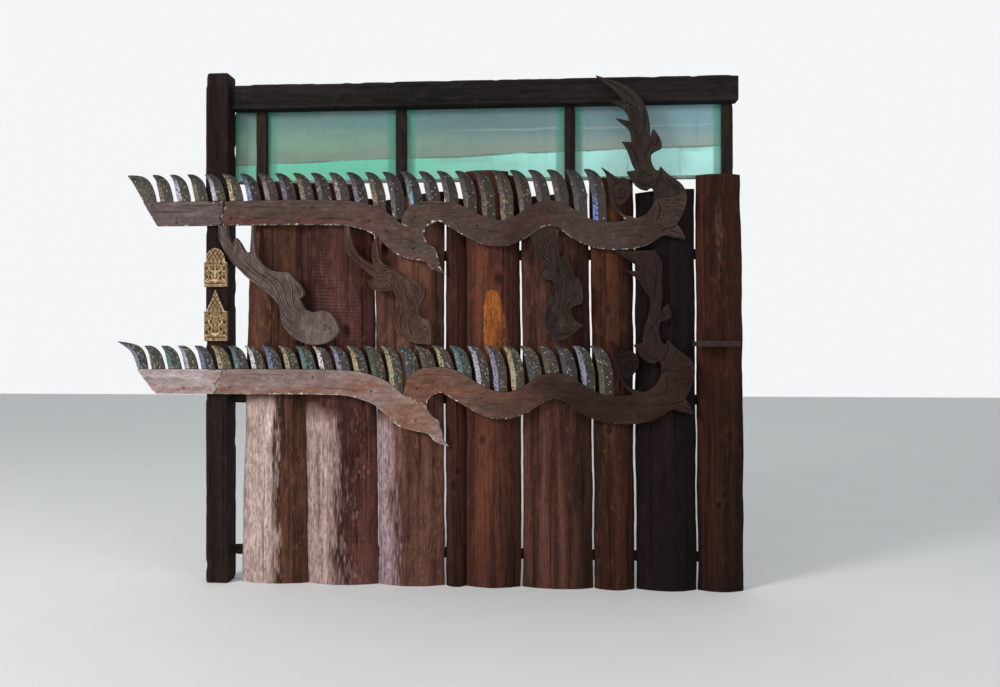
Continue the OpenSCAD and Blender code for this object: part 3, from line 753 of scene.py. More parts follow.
def plank(lines=(), holes=(), red=(0, 0, 0), seed=1, ground=((0, 0), (1, 0)), grooves=(), hook=0,
          shade_along_board=((0, 0), (1, 0)), ceiling=9, band=0, seam=None, rubbed=None, bare=()):
    """How a flat old plank's face is worn: slow waves, knocked edges, splits and nail holes.

    ground gives how much white ground is left on the lower edge, against the place along
    the board, below a ceiling; hook is how much is left on the edges round the notch.
    shade_along_board gives how much painted shade darkens the board, against the place along
    it; red is where old paint stays, how widely and how strongly, and band how much of it
    stays along the lower edge; seam is where the board meets the next length; rubbed is a
    pale streak and bare a scratch down to the white ground.
    """
    lines = [curve(line) for line in lines]
    grooves = [curve(line) for line in grooves]

    def carve(x, z, far, lower):
        sink = 0.0016 * mottle(x, z * 3, 0.3, seed) + 0.0008 * mottle(x * 0.3, z, 0.018, seed + 1)
        sink = sink + 0.0022 * mottle(x * 0.7, z, 0.045, seed + 13) + 0.005 * np.exp(-far / 0.016)
        knock = np.clip(mottle(x, z, 0.022, seed + 2) - 0.5, 0, 1) * np.exp(-far / 0.005)
        sink = sink + 0.006 * knock
        crack, lips = splits(x, z, lines), 0 * x
        pits, pit = nail_holes(x, z, holes, 0.0068)
        sink = sink + 0.004 * crack + 0.008 * pits
        dark = np.maximum(crack, pit)
        # Carved grooves: painted shade in the cut and painted highlights on the lips beside it.
        if grooves:
            gap = groove_field(x, z, grooves)
            cut, lips = bell(gap, 0.0062), bell(gap - 0.0115, 0.0045)
            sink = sink + 0.008 * cut + 0.003 * (1 - lips) * np.clip(1 - gap / 0.05, 0, 1)
            dark = np.maximum(dark, 0.85 * cut)
        marks = np.zeros((len(x), 4))
        gape = np.zeros(len(x)) if seam is None else (np.abs(x - seam) < 0.06) * ~lower
        gape = gape * bell(far, 0.004 + 0.006 * mottle(x, z, 0.02, seed + 7))
        sink = sink + 0.005 * gape
        dark = np.maximum(dark, gape)
        # Painted shade: darker along the board as given, and on the frond above the ceiling.
        painted_shade = np.interp(x, *zip(*shade_along_board)) * (0.8 + 0.4 * mottle(x, z, 0.12, seed + 6))
        painted_shade = painted_shade + 0.4 * climb(z, ceiling, 0.06) * (np.abs(x - 2.62) < 0.14)
        marks[:, 0] = np.maximum(dark, painted_shade)
        marks[:, 1] = np.maximum(np.clip(np.exp(-far / 0.006) * 0.7 + knock * 2, 0, 1), 0.8 * lips)
        zone = red[2] * bell(x - red[0], max(red[1], 1e-3))
        lowest = band * bell(far - 0.024, 0.026) * lower
        marks[:, 2] = 0.12 + np.maximum(zone, lowest)
        if rubbed:
            pale = bell(line_gap(x, z, curve(rubbed))[0], 0.014)
            pale = pale * (0.5 + mottle(x, z * 4, 0.05, seed + 9))
            marks[:, 1] = np.maximum(marks[:, 1], pale)
        along, left = zip(*ground)
        kept = np.where(lower & (z < ceiling), np.interp(x, along, left), 0)
        if hook:
            kept = np.where((x > 1.353) & (x < 1.56) & (z < 2.235), hook, kept)
        kept = kept * np.clip(1.9 * mottle(x, z, 0.035, seed + 5) - 0.1, 0, 1)
        kept = kept * np.clip(2.6 * mottle(x, z, 0.011, seed + 12) - 0.4, 0.25, 1)
        flakes = np.clip(5 * (mottle(x, z, 0.010, seed + 10) - 0.62), 0, 1) * bell(far, 0.010)
        chipped = np.clip(4 * (mottle(x, z, 0.012, seed + 8) - 0.7), 0, 1) * (gape > 0.05)
        white = np.exp(-far / 0.0045) * kept + kept * flakes + 0.8 * chipped
        if bare:
            scratch = bell(line_gap(x, z, curve(bare))[0], 0.005)
            white = white + 0.75 * scratch * mottle(x, z, 0.014, seed + 11)
        marks[:, 3] = np.clip(white, 0, 1)
        return sink, marks
    return carve


def painted_wood(name, *shades, greyness):
    """Bare weathered plank with rests of red paint, grey dust and flakes of white ground.

    shades are screen values: its dark, middle and light wood, its paint and its dust.
    """
    dark, middle, light, red, grey = [rgb(*shade) for shade in shades]

    def build(start):
        grain = start.given("grain", 1)
        marks, ground = start.given("marks"), start.given("marks", 3)
        hollow_and_shade, worn, paint = marks.part(0), marks.part(1), marks.part(2)
        streak = grain.noise(26, 26, 1.5, 5, 0.6, 0.3)
        drift = grain.noise(7, 7, 2.2, 3, 0.55)
        fibre = grain.noise(230, 230, 9, 3, 0.6)
        blot = grain.noise(16, 16, 9, 4, 0.65, 0.4, 3.7)
        flake = grain.noise(70, 70, 42, 3, 0.6, 0.2, 9.1)
        line = (grain.noise(44, 44, 1.3, 3, 0.5) - 0.5).size().ramp(0.004, 0.018, 1.0, 0.0)
        crack = line * grain.noise(5, 5, 1.6, 1, 0.5, 0, 5.0).ramp(0.50, 0.64) * 0.6
        base = streak.ramp(0.3, 0.7).mix(dark, middle)
        base = (drift.ramp(0.38, 0.68) * 0.7).mix(base, light)
        base = (blot + paint - 0.30).ramp(0.40, 0.74, 0.0, 0.75).mix(base, red)
        dust = grain.noise(24, 24, 13, 5, 0.7, 0.3, 2.9).ramp(0.50, 0.66)
        # Greyer with dust, worn edges and painted highlights on carved lips and beads; darker and browner
        # where cuts, cracks and painted shade are marked.
        base = (drift.ramp(0.62, 0.35) * greyness + worn * 0.4 + dust * 0.4 * (1 - hollow_and_shade)).mix(base, grey)
        base = hollow_and_shade.ramp(0.35, 0.95, 0.0, 0.6).mix(base, dark)
        white = (flake * 0.9 + ground * 1.1 - 0.62).ramp(0.24, 0.36)
        base = white.mix(base, flake.ramp(0.45, 0.62).mix(rgb(160, 148, 138), rgb(246, 238, 228)))
        grime = grain.noise(34, 34, 15, 5, 0.7, 0.3, 6.6).ramp(0.34, 0.66)
        pock = grain.noise(105, 105, 60, 2, 0.5, 0, 8.2).ramp(0.62, 0.72) * 0.35
        shade = (0.60 + 0.3 * fibre + 0.44 * grime) * (1 - 0.7 * crack * (1 - white)) * (1 - 0.7 * hollow_and_shade)
        shade = shade * (1 - pock * (1 - white))
        height = fibre * 0.3 + streak * 0.3 + white * 0.35 - crack * 1.3 + blot * 0.25 + grime * 0.5 - pock
        return {"Base Color": base.shaded(shade), "Normal": height.bump(0.5, 0.003),
                "Roughness": (0.74 + 0.2 * (1 - fibre)).ramp(0, 1, 0, 1)}
    return finish(name, build, Specular_IOR_Level=0.2)


board_upper = painted_wood(
    "upper_board_wood", (52, 35, 31), (77, 56, 50), (96, 74, 66),
    (98, 54, 54), (108, 92, 86), greyness=0.32)
board_head = painted_wood(
    "head_wood", (27, 20, 17), (39, 31, 26), (54, 44, 37),
    (56, 33, 27), (61, 53, 48), greyness=0.25)
horn_lower = painted_wood(
    "lower_horn_wood", (30, 19, 16), (43, 29, 25), (60, 41, 36),
    (62, 31, 26), (68, 49, 47), greyness=0.25)
# The lower board and the lower end block are paler than the upper ones: dust, and painted daylight falling on
# them.
board_lower_lit = painted_wood(
    "lower_board_lit_wood", (96, 72, 66), (130, 106, 100), (150, 124, 118),
    (132, 80, 52), (158, 142, 138), greyness=0.45)
board_end = painted_wood(
    "end_wood", (64, 50, 48), (86, 72, 70), (104, 89, 87),
    (94, 61, 54), (113, 99, 97), greyness=0.5)
pale_lit_end = painted_wood(
    "pale_lit_end_wood", (124, 106, 104), (163, 145, 145), (182, 165, 165),
    (148, 106, 88), (196, 181, 179), greyness=0.4)
naga_lower = painted_wood(
    "lower_naga_wood", (62, 34, 26), (105, 72, 59), (127, 90, 75),
    (134, 82, 56), (123, 100, 91), greyness=0.3)
relief("upper_end_block", plank(
    [[(-440, 2395), (-300, 2398), (-150, 2392)], [(-260, 2440), (-120, 2436), (20, 2441)]],
    [(-252, 2330), (-250, 2352), (30, 2440), (-410, 2445)], seed=61,
    ground=[(-0.4, 0.35), (0, 0.45)], seam=0.03), board_end)
relief("upper_tail_board", plank(
    [[(120, 2420), (330, 2424), (520, 2418)], [(620, 2350), (800, 2346), (930, 2330)],
     [(230, 2350), (300, 2352), (380, 2349)], [(1180, 2240), (1260, 2205), (1330, 2180)]],
    [(110, 2352), (640, 2420), (1010, 2330), (1290, 2150), (1120, 2262)], (1.06, 0.30, 0.16),
    seed=62, band=0.34, hook=0.8, seam=0.03,
    ground=[(0.1, 0.5), (0.6, 0.6), (0.8, 0.95), (1.05, 0.7), (1.3, 0.8), (1.5, 0.95)]),
    board_upper)
upper_ground = [
    (1.35, 0.95), (1.5, 1.0), (1.62, 0.6), (1.72, 0.35), (1.88, 0.4), (2.04, 1.0), (2.14, 1.0),
    (2.2, 0.6), (2.27, 1.0), (2.34, 0.5), (2.46, 0.8), (2.55, 1.0), (2.74, 1.0), (2.80, 0.1), (3, 0)]
first_arch_crack = [(1270, 2418), (1330, 2432), (1400, 2436), (1490, 2431), (1560, 2418)]
face_holes = [(2814, 2448), (2881, 2437), (2881, 2393), (2924, 2418), (2856, 2350), (2899, 2313),
              (2954, 2440), (2850, 2276)]
bare_line = [(2392, 2297), (2412, 2288), (2432, 2272), (2452, 2256)]
frond_lines = [
    [(2529, 2573), (2549, 2490), (2566, 2421), (2607, 2365), (2655, 2337)],
    [(2525, 2587), (2553, 2572), (2581, 2574), (2607, 2562)],
    [(2547, 2525), (2563, 2545), (2590, 2552), (2628, 2544)],
    [(2566, 2428), (2581, 2407), (2607, 2403), (2631, 2427), (2638, 2462)]]
face_lines = [
    [(2962, 2312), (2921, 2273), (2874, 2263), (2840, 2236)],
    [(2820, 2440), (2836, 2396), (2832, 2350), (2806, 2306)],
    [(2880, 2235), (2935, 2207), (2986, 2205)], [(2880, 2256), (2935, 2238), (2982, 2217)],
    [(2870, 2478), (2917, 2477), (2978, 2497)], [(2802, 2537), (2792, 2482), (2802, 2420)]]


def spiral(centre, radius, turns, start=0.0, points=16):
    """Points of a spiral in millimetres that runs in to its centre at an even rate."""
    f = np.linspace(0, 1, points)
    angle = start + f * turns * 2 * math.pi
    reach = radius * (1 - 0.88 * f)
    return [(centre[0] + r * math.cos(a), centre[1] + r * math.sin(a)) for r, a in zip(reach, angle)]


frond_lines.append(spiral((2598, 2486), 42, 1.7, 2.2, 22))
# The upper board darkens from 1.6 m towards the head with painted shade.
relief("upper_naga", plank(
    [first_arch_crack, [(2452, 2247), (2453, 2220), (2442, 2182)],
     [(1640, 2290), (1760, 2258), (1880, 2262)], [(2060, 2360), (2180, 2372), (2280, 2352)]],
    face_holes + [(1300, 2350), (1700, 2290), (2150, 2380), (2500, 2262), (2720, 2210)],
    (2.0, 0.5, 0.22), seed=63, ground=upper_ground, grooves=frond_lines + face_lines,
    shade_along_board=[(1.6, 0.08), (1.95, 0.55), (2.3, 0.38), (2.6, 0.36), (2.85, 0.56)], ceiling=2.335,
    bare=bare_line), board_upper)


# Horns: the flame that rises from each head, carved in the round in overlapping tongues,
# then nailed over the nape. Dark bare wood, greyed by dust high up, with painted shade in the cuts.
def tongues(lines, holes=(), dusty=9, painted_shade=0.0):
    """Carved tongues: the face swells between the cuts as a quarter circle does.

    dusty is the height above which dust greys the face; painted_shade darkens it all over.
    """
    lines = [curve(line) for line in lines]
    reach, depth, seed = 0.026, 0.010, 5

    def carve(x, z, far, lower):
        cut = groove_field(x, z, lines)
        gap = np.minimum(cut, far + 0.002)
        share = np.clip(1 - gap / reach, 0, 1)
        sink = depth * (1 - np.sqrt(np.clip(1 - share ** 2, 0, 1)))
        sink = sink + 0.0026 * mottle(x, z, 0.03, seed) + 0.001 * mottle(x * 3, z * 0.5, 0.02, seed + 1)
        pits, pit = nail_holes(x, z, holes, 0.005)
        sink = sink + 0.006 * pits
        # Painted shade in the cuts; nail holes dark.
        dark = np.maximum(0.8 * bell(cut, 0.0035), pit)
        marks = np.zeros((len(x), 4))
        marks[:, 0] = np.maximum(dark, painted_shade * (0.6 + 0.8 * mottle(x, z, 0.08, seed + 2)))
        above = climb(z, dusty, 0.2) * (0.3 + 0.7 * mottle(x, z, 0.035, seed + 3))
        marks[:, 1] = np.clip(np.exp(-far / 0.007) * 0.8 + above, 0, 1)
        marks[:, 2] = 0.12
        return sink, marks
    return carve


nape_lines = [
    [(2650, 2612), (2684, 2572), (2736, 2538), (2796, 2524), (2856, 2540)],
    [(2838, 2642), (2840, 2596), (2822, 2556), (2800, 2520)],
    [(2870, 2600), (2890, 2560), (2930, 2530), (2965, 2518)]]
horn_lines = [
    [(2452, 3219), (2539, 3172), (2609, 3122), (2667, 3072), (2706, 3010)],
    [(2556, 3056), (2601, 3050), (2645, 3041), (2684, 3012), (2706, 2966)],
    [(2640, 3010), (2672, 2990), (2682, 2952), (2664, 2926)],
    [(2590, 2950), (2630, 2934), (2668, 2900), (2696, 2850), (2706, 2792)],
    [(2736, 3036), (2744, 2960), (2738, 2880), (2716, 2816)],
    [(2620, 2800), (2652, 2776), (2684, 2736), (2702, 2684), (2708, 2640)],
    spiral((2808, 2800), 26, 1.4, 1.2, 12),
    [(2776, 2850), (2786, 2800), (2768, 2762), (2744, 2720), (2736, 2676)],
    [(2663, 2597), (2694, 2555), (2734, 2531), (2782, 2544), (2809, 2571)],
    [(2829, 2632), (2843, 2577), (2890, 2529), (2944, 2508), (2978, 2504)],
    [(2720, 2630), (2760, 2600), (2800, 2590)], *nape_lines]
relief("upper_horn", tongues(
    horn_lines, holes=[(2850, 2490), (2790, 2566)], dusty=2.94), board_head, spacing=0.0036,
    upright=True)


def lowered(points):
    """A place on the upper board, moved to the lower one: resized about the notch."""
    return [(1222 + 1.02 * (x - 1208), 1225 + 1.02 * (z - 2310)) for x, z in points]


relief("lower_end_block", plank(
    holes=[(-204, 1261)], seed=71, ground=[(-0.4, 0.5), (0, 0.5)], band=0.3, seam=0.02,
    rubbed=[(-343, 1353), (-277, 1344), (-158, 1331), (-52, 1329)]), pale_lit_end)
relief("lower_tail_board", plank(
    [lowered([(90, 2430), (300, 2434), (560, 2428)]), lowered([(640, 2352), (820, 2346), (960, 2322)])],
    lowered([(110, 2352), (640, 2420), (1010, 2330), (1290, 2150)]), (1.2, 0.36, 0.55), seed=72,
    ground=[(0.1, 0.8), (0.4, 0.95), (0.8, 0.9), (1.3, 0.8)], hook=0.7, band=0.75, seam=0.02),
    board_lower_lit)
# The lower board darkens to the right of 1.6 m with painted shade.
relief("lower_naga", plank(
    [lowered(first_arch_crack), lowered([(1640, 2290), (1760, 2258), (1880, 2262)])],
    lowered(face_holes) + lowered([(1300, 2350), (1700, 2290), (2150, 2380)]), (1.45, 0.3, 0.22), seed=73,
    ground=[(1.37, 0.8), (1.6, 0.7), (2.7, 0.35), (2.9, 0)],
    grooves=[lowered(line) for line in frond_lines + face_lines],
    shade_along_board=[(1.6, 0), (1.95, 0.45), (2.3, 0.9), (3.0, 0.96)], ceiling=1.25), naga_lower)
lower_horn_lines = [
    [(2560, 3176), (2630, 3132), (2668, 3080), (2700, 3010), (2724, 2940)],
    [(2600, 3066), (2650, 3046), (2696, 2990), (2726, 2930), (2744, 2872)],
    [(2760, 3170), (2772, 3080), (2766, 2990), (2756, 2900), (2752, 2830)],
    spiral((2828, 2816), 28, 1.4, 1.2, 12),
    [(2800, 2850), (2796, 2800), (2770, 2762), (2744, 2720), (2736, 2676)], *nape_lines]
# The lower horn is darkened all over with painted shade.
relief("lower_horn", tongues([lowered(line) for line in lower_horn_lines], painted_shade=0.3),
       horn_lower, spacing=0.0036, upright=True)


# Eave brackets: planks carved as rising leaves, with grooves that run along the leaf.
# Here they only hang on the slabs. The first is grey from daylight, the others brown.
def strands(lines, palm, holes, seed):
    """Strands of a carved leaf: beside each cut a narrow bead, a shallow step, then a swell.

    The cuts and the outline are treated alike, but the palm's own edge is only rounded.
    """
    lines = [curve(line) for line in lines]

    def carve(x, z, far, lower):
        plain = np.clip(1.3 - np.hypot(x - palm[0], z - palm[1]) / palm[2], 0, 0.3) / 0.3
        cut = groove_field(x, z, lines)
        gap = np.minimum(cut, far + 0.004 + 0.1 * plain)
        bead = 1 - np.sqrt(np.clip(1 - np.clip(1 - gap / 0.0075, 0, 1) ** 2, 0, 1))
        step = bell(gap - 0.0150, 0.0028) * (1 - plain)
        swell = 0.008 * (1 - np.sin(0.5 * math.pi * climb(gap, 0.015, 0.022))) * (gap > 0.0065)
        sink = 0.012 * bead + 0.0012 * step + swell * climb(gap, 0.0065, 0.008)
        pocks = np.clip(mottle(x, z, 0.011, seed + 5) - 0.66, 0, 1) * 2 * plain * mottle(x, z, 0.05, seed + 6)
        sink = sink + 0.006 * pocks
        fine = mottle(gap * 3.2 + 0.15 * mottle(x, z, 0.06, seed + 3), 0.35 * x, 0.011, seed + 4)
        sink = sink + 0.0018 * mottle(x, z, 0.035, seed) + 0.0012 * fine * (1 - plain)
        # Painted shade in the cuts and at the steps.
        dark = np.maximum(0.85 * bell(gap, 0.0038), 0.15 * step)
        dark = np.maximum(dark, 0.3 * np.clip(fine - 0.55, 0, 1) * (1 - plain)) + pocks
        pits, pit = nail_holes(x, z, holes, 0.006)
        sink = sink + 0.007 * pits
        marks = np.zeros((len(x), 4))
        marks[:, 0] = np.maximum(np.maximum(dark, pit), 0.22 * (1 - plain))
        # Pale crests on the beads: painted highlights.
        bright = np.clip(2.2 * mottle(x, z, 0.07, seed + 7) - 0.4, 0.1, 1)
        marks[:, 1] = np.clip(bell(gap - 0.0085, 0.0042) * bright, 0, 1)
        marks[:, 2] = 0.05
        return sink, marks
    return carve


grey_wood = painted_wood(
    "grey_bracket_wood", (63, 48, 43), (93, 75, 69), (116, 96, 90),
    (90, 62, 54), (134, 117, 112), greyness=0.45)
brown_wood = painted_wood(
    "brown_bracket_wood", (48, 30, 24), (78, 52, 43), (100, 70, 58),
    (88, 50, 42), (110, 88, 76), greyness=0.3)
dark_wood = painted_wood(
    "dark_bracket_wood", (34, 25, 22), (52, 38, 33), (68, 52, 46),
    (62, 36, 30), (76, 62, 56), greyness=0.25)
bracket_1_lines = [
    [(51, 2241), (76, 2155), (125, 2079), (180, 2025), (240, 1974), (306, 1931), (350, 1902)],
    [(103, 2176), (142, 2106), (197, 2052), (257, 2004), (322, 1960), (363, 1918), (382, 1875)],
    [(164, 2133), (213, 2073), (273, 2020), (333, 1979), (382, 1944)],
    [(229, 2170), (232, 2089), (254, 2030), (306, 1987), (366, 1955), (410, 1901), (431, 1848),
     (453, 1789), (480, 1741), (524, 1698), (578, 1666)],
    [(273, 2073), (317, 2019), (377, 1982), (426, 1949), (456, 1901), (472, 1848), (491, 1789),
     (524, 1741), (573, 1703)],
    [(464, 2002), (497, 1954), (516, 1901), (518, 1842), (532, 1789), (562, 1751), (594, 1730)],
    [(382, 1923), (407, 1869), (426, 1816), (448, 1762), (475, 1714), (518, 1666), (551, 1645)],
    [(431, 1725), (459, 1677), (502, 1634), (551, 1608), (589, 1586)],
    [(513, 1954), (540, 1911), (552, 1879), (540, 1855)]]
bracket_2_lines = [
    [(872, 2299), (878, 2177), (907, 2114), (966, 2061), (1036, 2014), (1089, 1997)],
    [(910, 2270), (916, 2177), (948, 2107), (1007, 2061), (1065, 2026)],
    [(1036, 2240), (1033, 2147), (1048, 2089), (1089, 2043), (1147, 2025), (1194, 1996), (1229, 1938)],
    [(1100, 1997), (1141, 1996), (1170, 1967), (1168, 1927), (1147, 1910)],
    [(1059, 1962), (1112, 1950), (1147, 1927), (1165, 1875), (1194, 1829), (1229, 1783)],
    [(1194, 1962), (1229, 1909), (1252, 1846), (1281, 1782)],
    [(1287, 1961), (1310, 1903), (1334, 1846), (1333, 1788)],
    [(1210, 1812), (1222, 1754), (1210, 1702), (1213, 1650), (1240, 1600)],
    [(1262, 1737), (1262, 1685), (1276, 1621), (1300, 1580)]]
bracket_3_lines = [
    [(2048, 2203), (2080, 2140), (2111, 2087), (2147, 2051), (2168, 2019)],
    [(2085, 2223), (2108, 2166), (2127, 2108), (2147, 2066)],
    [(2184, 2223), (2158, 2171), (2147, 2118), (2153, 2066)],
    [(2205, 2181), (2205, 2139), (2220, 2087), (2226, 2019), (2220, 1967)],
    [(2246, 2102), (2241, 2050), (2267, 2003), (2288, 1956), (2298, 1909)],
    [(2168, 1998), (2189, 1967), (2197, 1914), (2205, 1862), (2200, 1810)],
    [(2324, 1945), (2314, 1877), (2288, 1831), (2267, 1789), (2267, 1737), (2288, 1690)],
    [(2236, 1946), (2246, 1893), (2246, 1831), (2231, 1779), (2226, 1726), (2241, 1679)],
    [(2166, 1831), (2147, 1789), (2134, 1742), (2142, 1695), (2168, 1648)],
    [(2194, 1800), (2179, 1753), (2179, 1706), (2205, 1653)],
    [(2163, 1586), (2205, 1606), (2267, 1617), (2330, 1648)]]
brackets = [
    (bracket_1_lines, (0.72, 1.63, 0.14), [(727, 1661), (759, 1648), (727, 1636), (772, 1617)],
     grey_wood, "grey_bracket"),
    (bracket_2_lines, (1.36, 1.62, 0.09), [(1370, 1655), (1340, 1640)], brown_wood, "dark_bracket"),
    (bracket_3_lines, (2.28, 1.63, 0.08), [(2250, 1650), (2210, 2000)], dark_wood, "dark_bracket")]
for number, (lines, palm, holes, material, slot) in enumerate(brackets, 1):
    relief("bracket_%d" % number, strands(lines, palm, holes, 80 + number), material, 0.0036,
           upright=True)


# Fins: flame-shaped blades set in a row along the serpent's back. Each is a thin board
# with a ridge up its face, coated in dark paste and set with small squares of mirror
# glass: a bright band on the left of the ridge, darker glass on its right, partly the
# glass's own colours and partly painted light on the left facet and painted shade on the right.
fin_rows, fin_edge, fin_ridge, glass_size = 26, 0.007, 0.40, 0.0086
fin_u = np.concatenate([np.linspace(0, fin_ridge, 6), np.linspace(fin_ridge, 1, 8)[1:]])
glass_tints = {name: rgb(*shade) for name, shade in {
    "white": (214, 208, 204), "silver": (172, 172, 184), "cream": (168, 152, 116),
    "violet": (132, 132, 156), "teal": (88, 116, 116), "blue": (100, 114, 146),
    "gold": (116, 98, 64), "olive": (82, 74, 56), "brown": (78, 63, 55),
    "slate": (62, 64, 68), "green": (62, 82, 72), "dark": (42, 34, 32),
    "tan": (108, 96, 80), "lilac": (124, 110, 114), "mauve": (84, 78, 98),
    "azure": (96, 122, 196)}.items()}
# Tints of each fin, left facet first; the upper row's run darker towards the right, partly painted shade.
upper_glass = [
    "olive olive", "tan olive", "silver olive", "tan brown", "silver olive", "cream olive",
    "blue dark", "lilac brown", "mauve dark", "tan brown", "slate dark", "lilac brown",
    "mauve dark", "olive brown gold", "slate dark", "teal dark blue", "slate dark", "brown dark",
    "brown dark", "brown dark", "olive brown gold", "olive dark", "brown dark", "brown dark",
    "slate dark", "mauve dark azure"]
lower_glass = [
    "violet slate", "olive slate", "teal green", "silver olive", "blue slate", "cream gold",
    "teal slate", "white brown", "blue slate", "cream olive", "teal green", "white brown",
    "violet slate", "cream olive", "green olive", "cream olive", "slate slate", "olive brown",
    "cream brown", "teal green", "silver brown", "violet brown", "cream olive", "slate brown",
    "olive brown", "slate dark", "violet dark", "olive dark"]


def loops_of(start, end):
    """The separate closed outlines in a set of edges, each as a row of points."""
    after = {tuple(np.round(a, 5)): tuple(np.round(b, 5)) for a, b in zip(start, end)}
    loops = []
    while after:
        first, place = next(iter(after.items()))
        loop = [first]
        del after[first]
        while place != first:
            loop.append(place)
            place = after.pop(place)
        loops.append(np.array(loop))
    return sorted(loops, key=lambda loop: loop[:, 0].min())


def crossings(loop, level, axis):
    """Lowest and highest place where a loop crosses each level along one axis."""
    a, b = loop, np.roll(loop, -1, axis=0)
    low, high = np.full(len(level), np.inf), np.full(len(level), -np.inf)
    for p, q in zip(a, b):
        if p[axis] != q[axis]:
            t = (level - p[axis]) / (q[axis] - p[axis])
            place = p[1 - axis] + t * (q[1 - axis] - p[1 - axis])
            hit = (t >= 0) & (t <= 1)
            low = np.where(hit, np.minimum(low, place), low)
            high = np.where(hit, np.maximum(high, place), high)
    return low, high


def side_profile(loop, reach):
    """A fin's left and right edge, from its tip, against the distance below its top."""
    top = loop[:, 1].max()
    tip = loop[loop[:, 1] > top - 0.006][:, 0].min()
    below = np.concatenate([[0.0005, 0.0015, 0.003, 0.006], np.arange(0.01, reach, 0.006)])
    left, right = crossings(loop, top - below, 1)
    deeper = np.arange(1, 12) * 0.02
    fall = below[-1] - below[-4]
    left = np.concatenate([left, left[-1] + (left[-1] - left[-4]) / fall * deeper])
    right = np.concatenate([right, right[-1] + (right[-1] - right[-4]) / fall * deeper])
    return np.concatenate([below, below[-1] + deeper]), left - tip, right - tip


def blade(loop, profile):
    """One fin as a grid: up from the board's edge to the tip, across from edge to edge.

    The side edges come from a profile against the distance below the top, moved to this
    fin. Each column's foot is found by stepping onto the lowest line of the outline.
    """
    top = loop[:, 1].max()
    tip = loop[loop[:, 1] > top - 0.006][:, 0].min()
    below, left, right = profile

    def across(fall):
        return np.interp(fall, below, left) * (1 - fin_u) + np.interp(fall, below, right) * fin_u

    foot = np.full(len(fin_u), loop[:, 1].min())
    for _ in range(6):
        column = np.clip(tip + across(top - foot), loop[:, 0].min() + 1e-4, loop[:, 0].max() - 1e-4)
        foot = crossings(loop, column, 0)[0]
    share = np.linspace(0, 1, fin_rows)[:, None] ** 0.85
    z = foot + (top - 0.0015 - foot) * share
    return tip + across(top - z), z


def thickness(t, full):
    """A fin's thickness across: thin at both edges and full at the ridge."""
    rise = np.where(t < fin_ridge, t / fin_ridge, (1 - t) / (1 - fin_ridge))
    return fin_edge + (full - fin_edge) * rise


def on_blade(values, row, across):
    """Values on a blade's grid read between its rows and columns."""
    i = np.clip(row.astype(int), 0, fin_rows - 2)
    j = np.clip(np.searchsorted(fin_u, across, side="right") - 1, 0, len(fin_u) - 2)
    s, t = row - i, (across - fin_u[j]) / (fin_u[j + 1] - fin_u[j])
    return ((values[i, j] * (1 - t) + values[i, j + 1] * t) * (1 - s)
            + (values[i + 1, j] * (1 - t) + values[i + 1, j + 1] * t) * s)


def chips(x, z, full, back, front, tints, kept, shade_and_odd_share, random):
    """Squares of glass laid in courses up both facets of a blade, as boxes 3 mm thick.

    tints names the left facet's colour, the right one's and, if given, the lowest courses';
    shade_and_odd_share is how much painted shade darkens the upper courses, how many squares
    are of another colour and how light the whole row is, painted shade dimming the upper row.
    """
    boxes, shades = [], []
    height = np.interp(fin_ridge, fin_u, z[-1] - z[0])
    courses = max(2, int(height / glass_size))
    for facet, (t0, t1) in enumerate(((0.04, fin_ridge - 0.012), (fin_ridge + 0.012, 0.95))):
        level = (np.arange(courses) + 0.3) / courses
        row = np.clip(level[:, None] + np.array([[0.03, 0.93]]) / courses, 0, 0.985) * (fin_rows - 1)
        left, right = [on_blade(x, row.mean(1), np.full(courses, t)) for t in (t0, t1)]
        width = right - left
        count = np.maximum(1, np.round(width / glass_size)).astype(int)
        course = np.repeat(np.arange(courses), count)
        k = np.arange(len(course)) - np.repeat(np.cumsum(count) - count, count)
        side = t0 + (t1 - t0) * (k[:, None] + np.array([[0.05, 0.95]])) / count[course][:, None]
        corner_row = row[course][:, [0, 0, 1, 1]]
        corner_side = side[:, [0, 1, 1, 0]]
        place_x, place_z = on_blade(x, corner_row, corner_side), on_blade(z, corner_row, corner_side)
        tilt = random.uniform(0, 0.0012, corner_row.shape)
        y = np.maximum(back - thickness(corner_side, full) - 0.0006 - tilt, front)
        top_face = np.stack([place_x, y, place_z], -1)
        stays = random.random(len(course)) < kept * (1 if facet == 0 else 0.92)
        stays &= (width[course] > 0.004)
        boxes.append(np.concatenate([top_face, top_face + [0, 0.003, 0]], 1)[stays])
        # Painted light and shade on the two facets: the left one's squares run lighter, the right one's
        # darker, each with random tone.
        tone = random.normal(*((1.22, 0.22), (0.80, 0.36))[facet], len(course))[:, None] * shade_and_odd_share[2]
        base = np.tile(np.array(glass_tints[tints[facet]]), (len(course), 1))
        if len(tints) > 2 and facet == 0:
            base[level[course] / 0.42 < random.random(len(course)) + 0.2] = glass_tints[tints[2]]
        # Painted shade on the upper courses.
        top_shade = shade_and_odd_share[0] * np.clip((level[course][:, None] - 0.35) / 0.45, 0, 1)
        shade = base * np.clip(tone, 0.25, 2.0) * (1 - top_shade)
        odd = random.random(len(course)) < shade_and_odd_share[1] * (1 + facet)
        other = np.array([glass_tints[n] for n in ("silver", "cream", "cream", "teal")])
        other = other[random.integers(0, 4, len(course))] * (1.0 - 0.3 * facet)
        shade = np.where(odd[:, None], other, shade)
        shades.append(shade[stays])
    return np.concatenate(boxes), np.concatenate(shades)


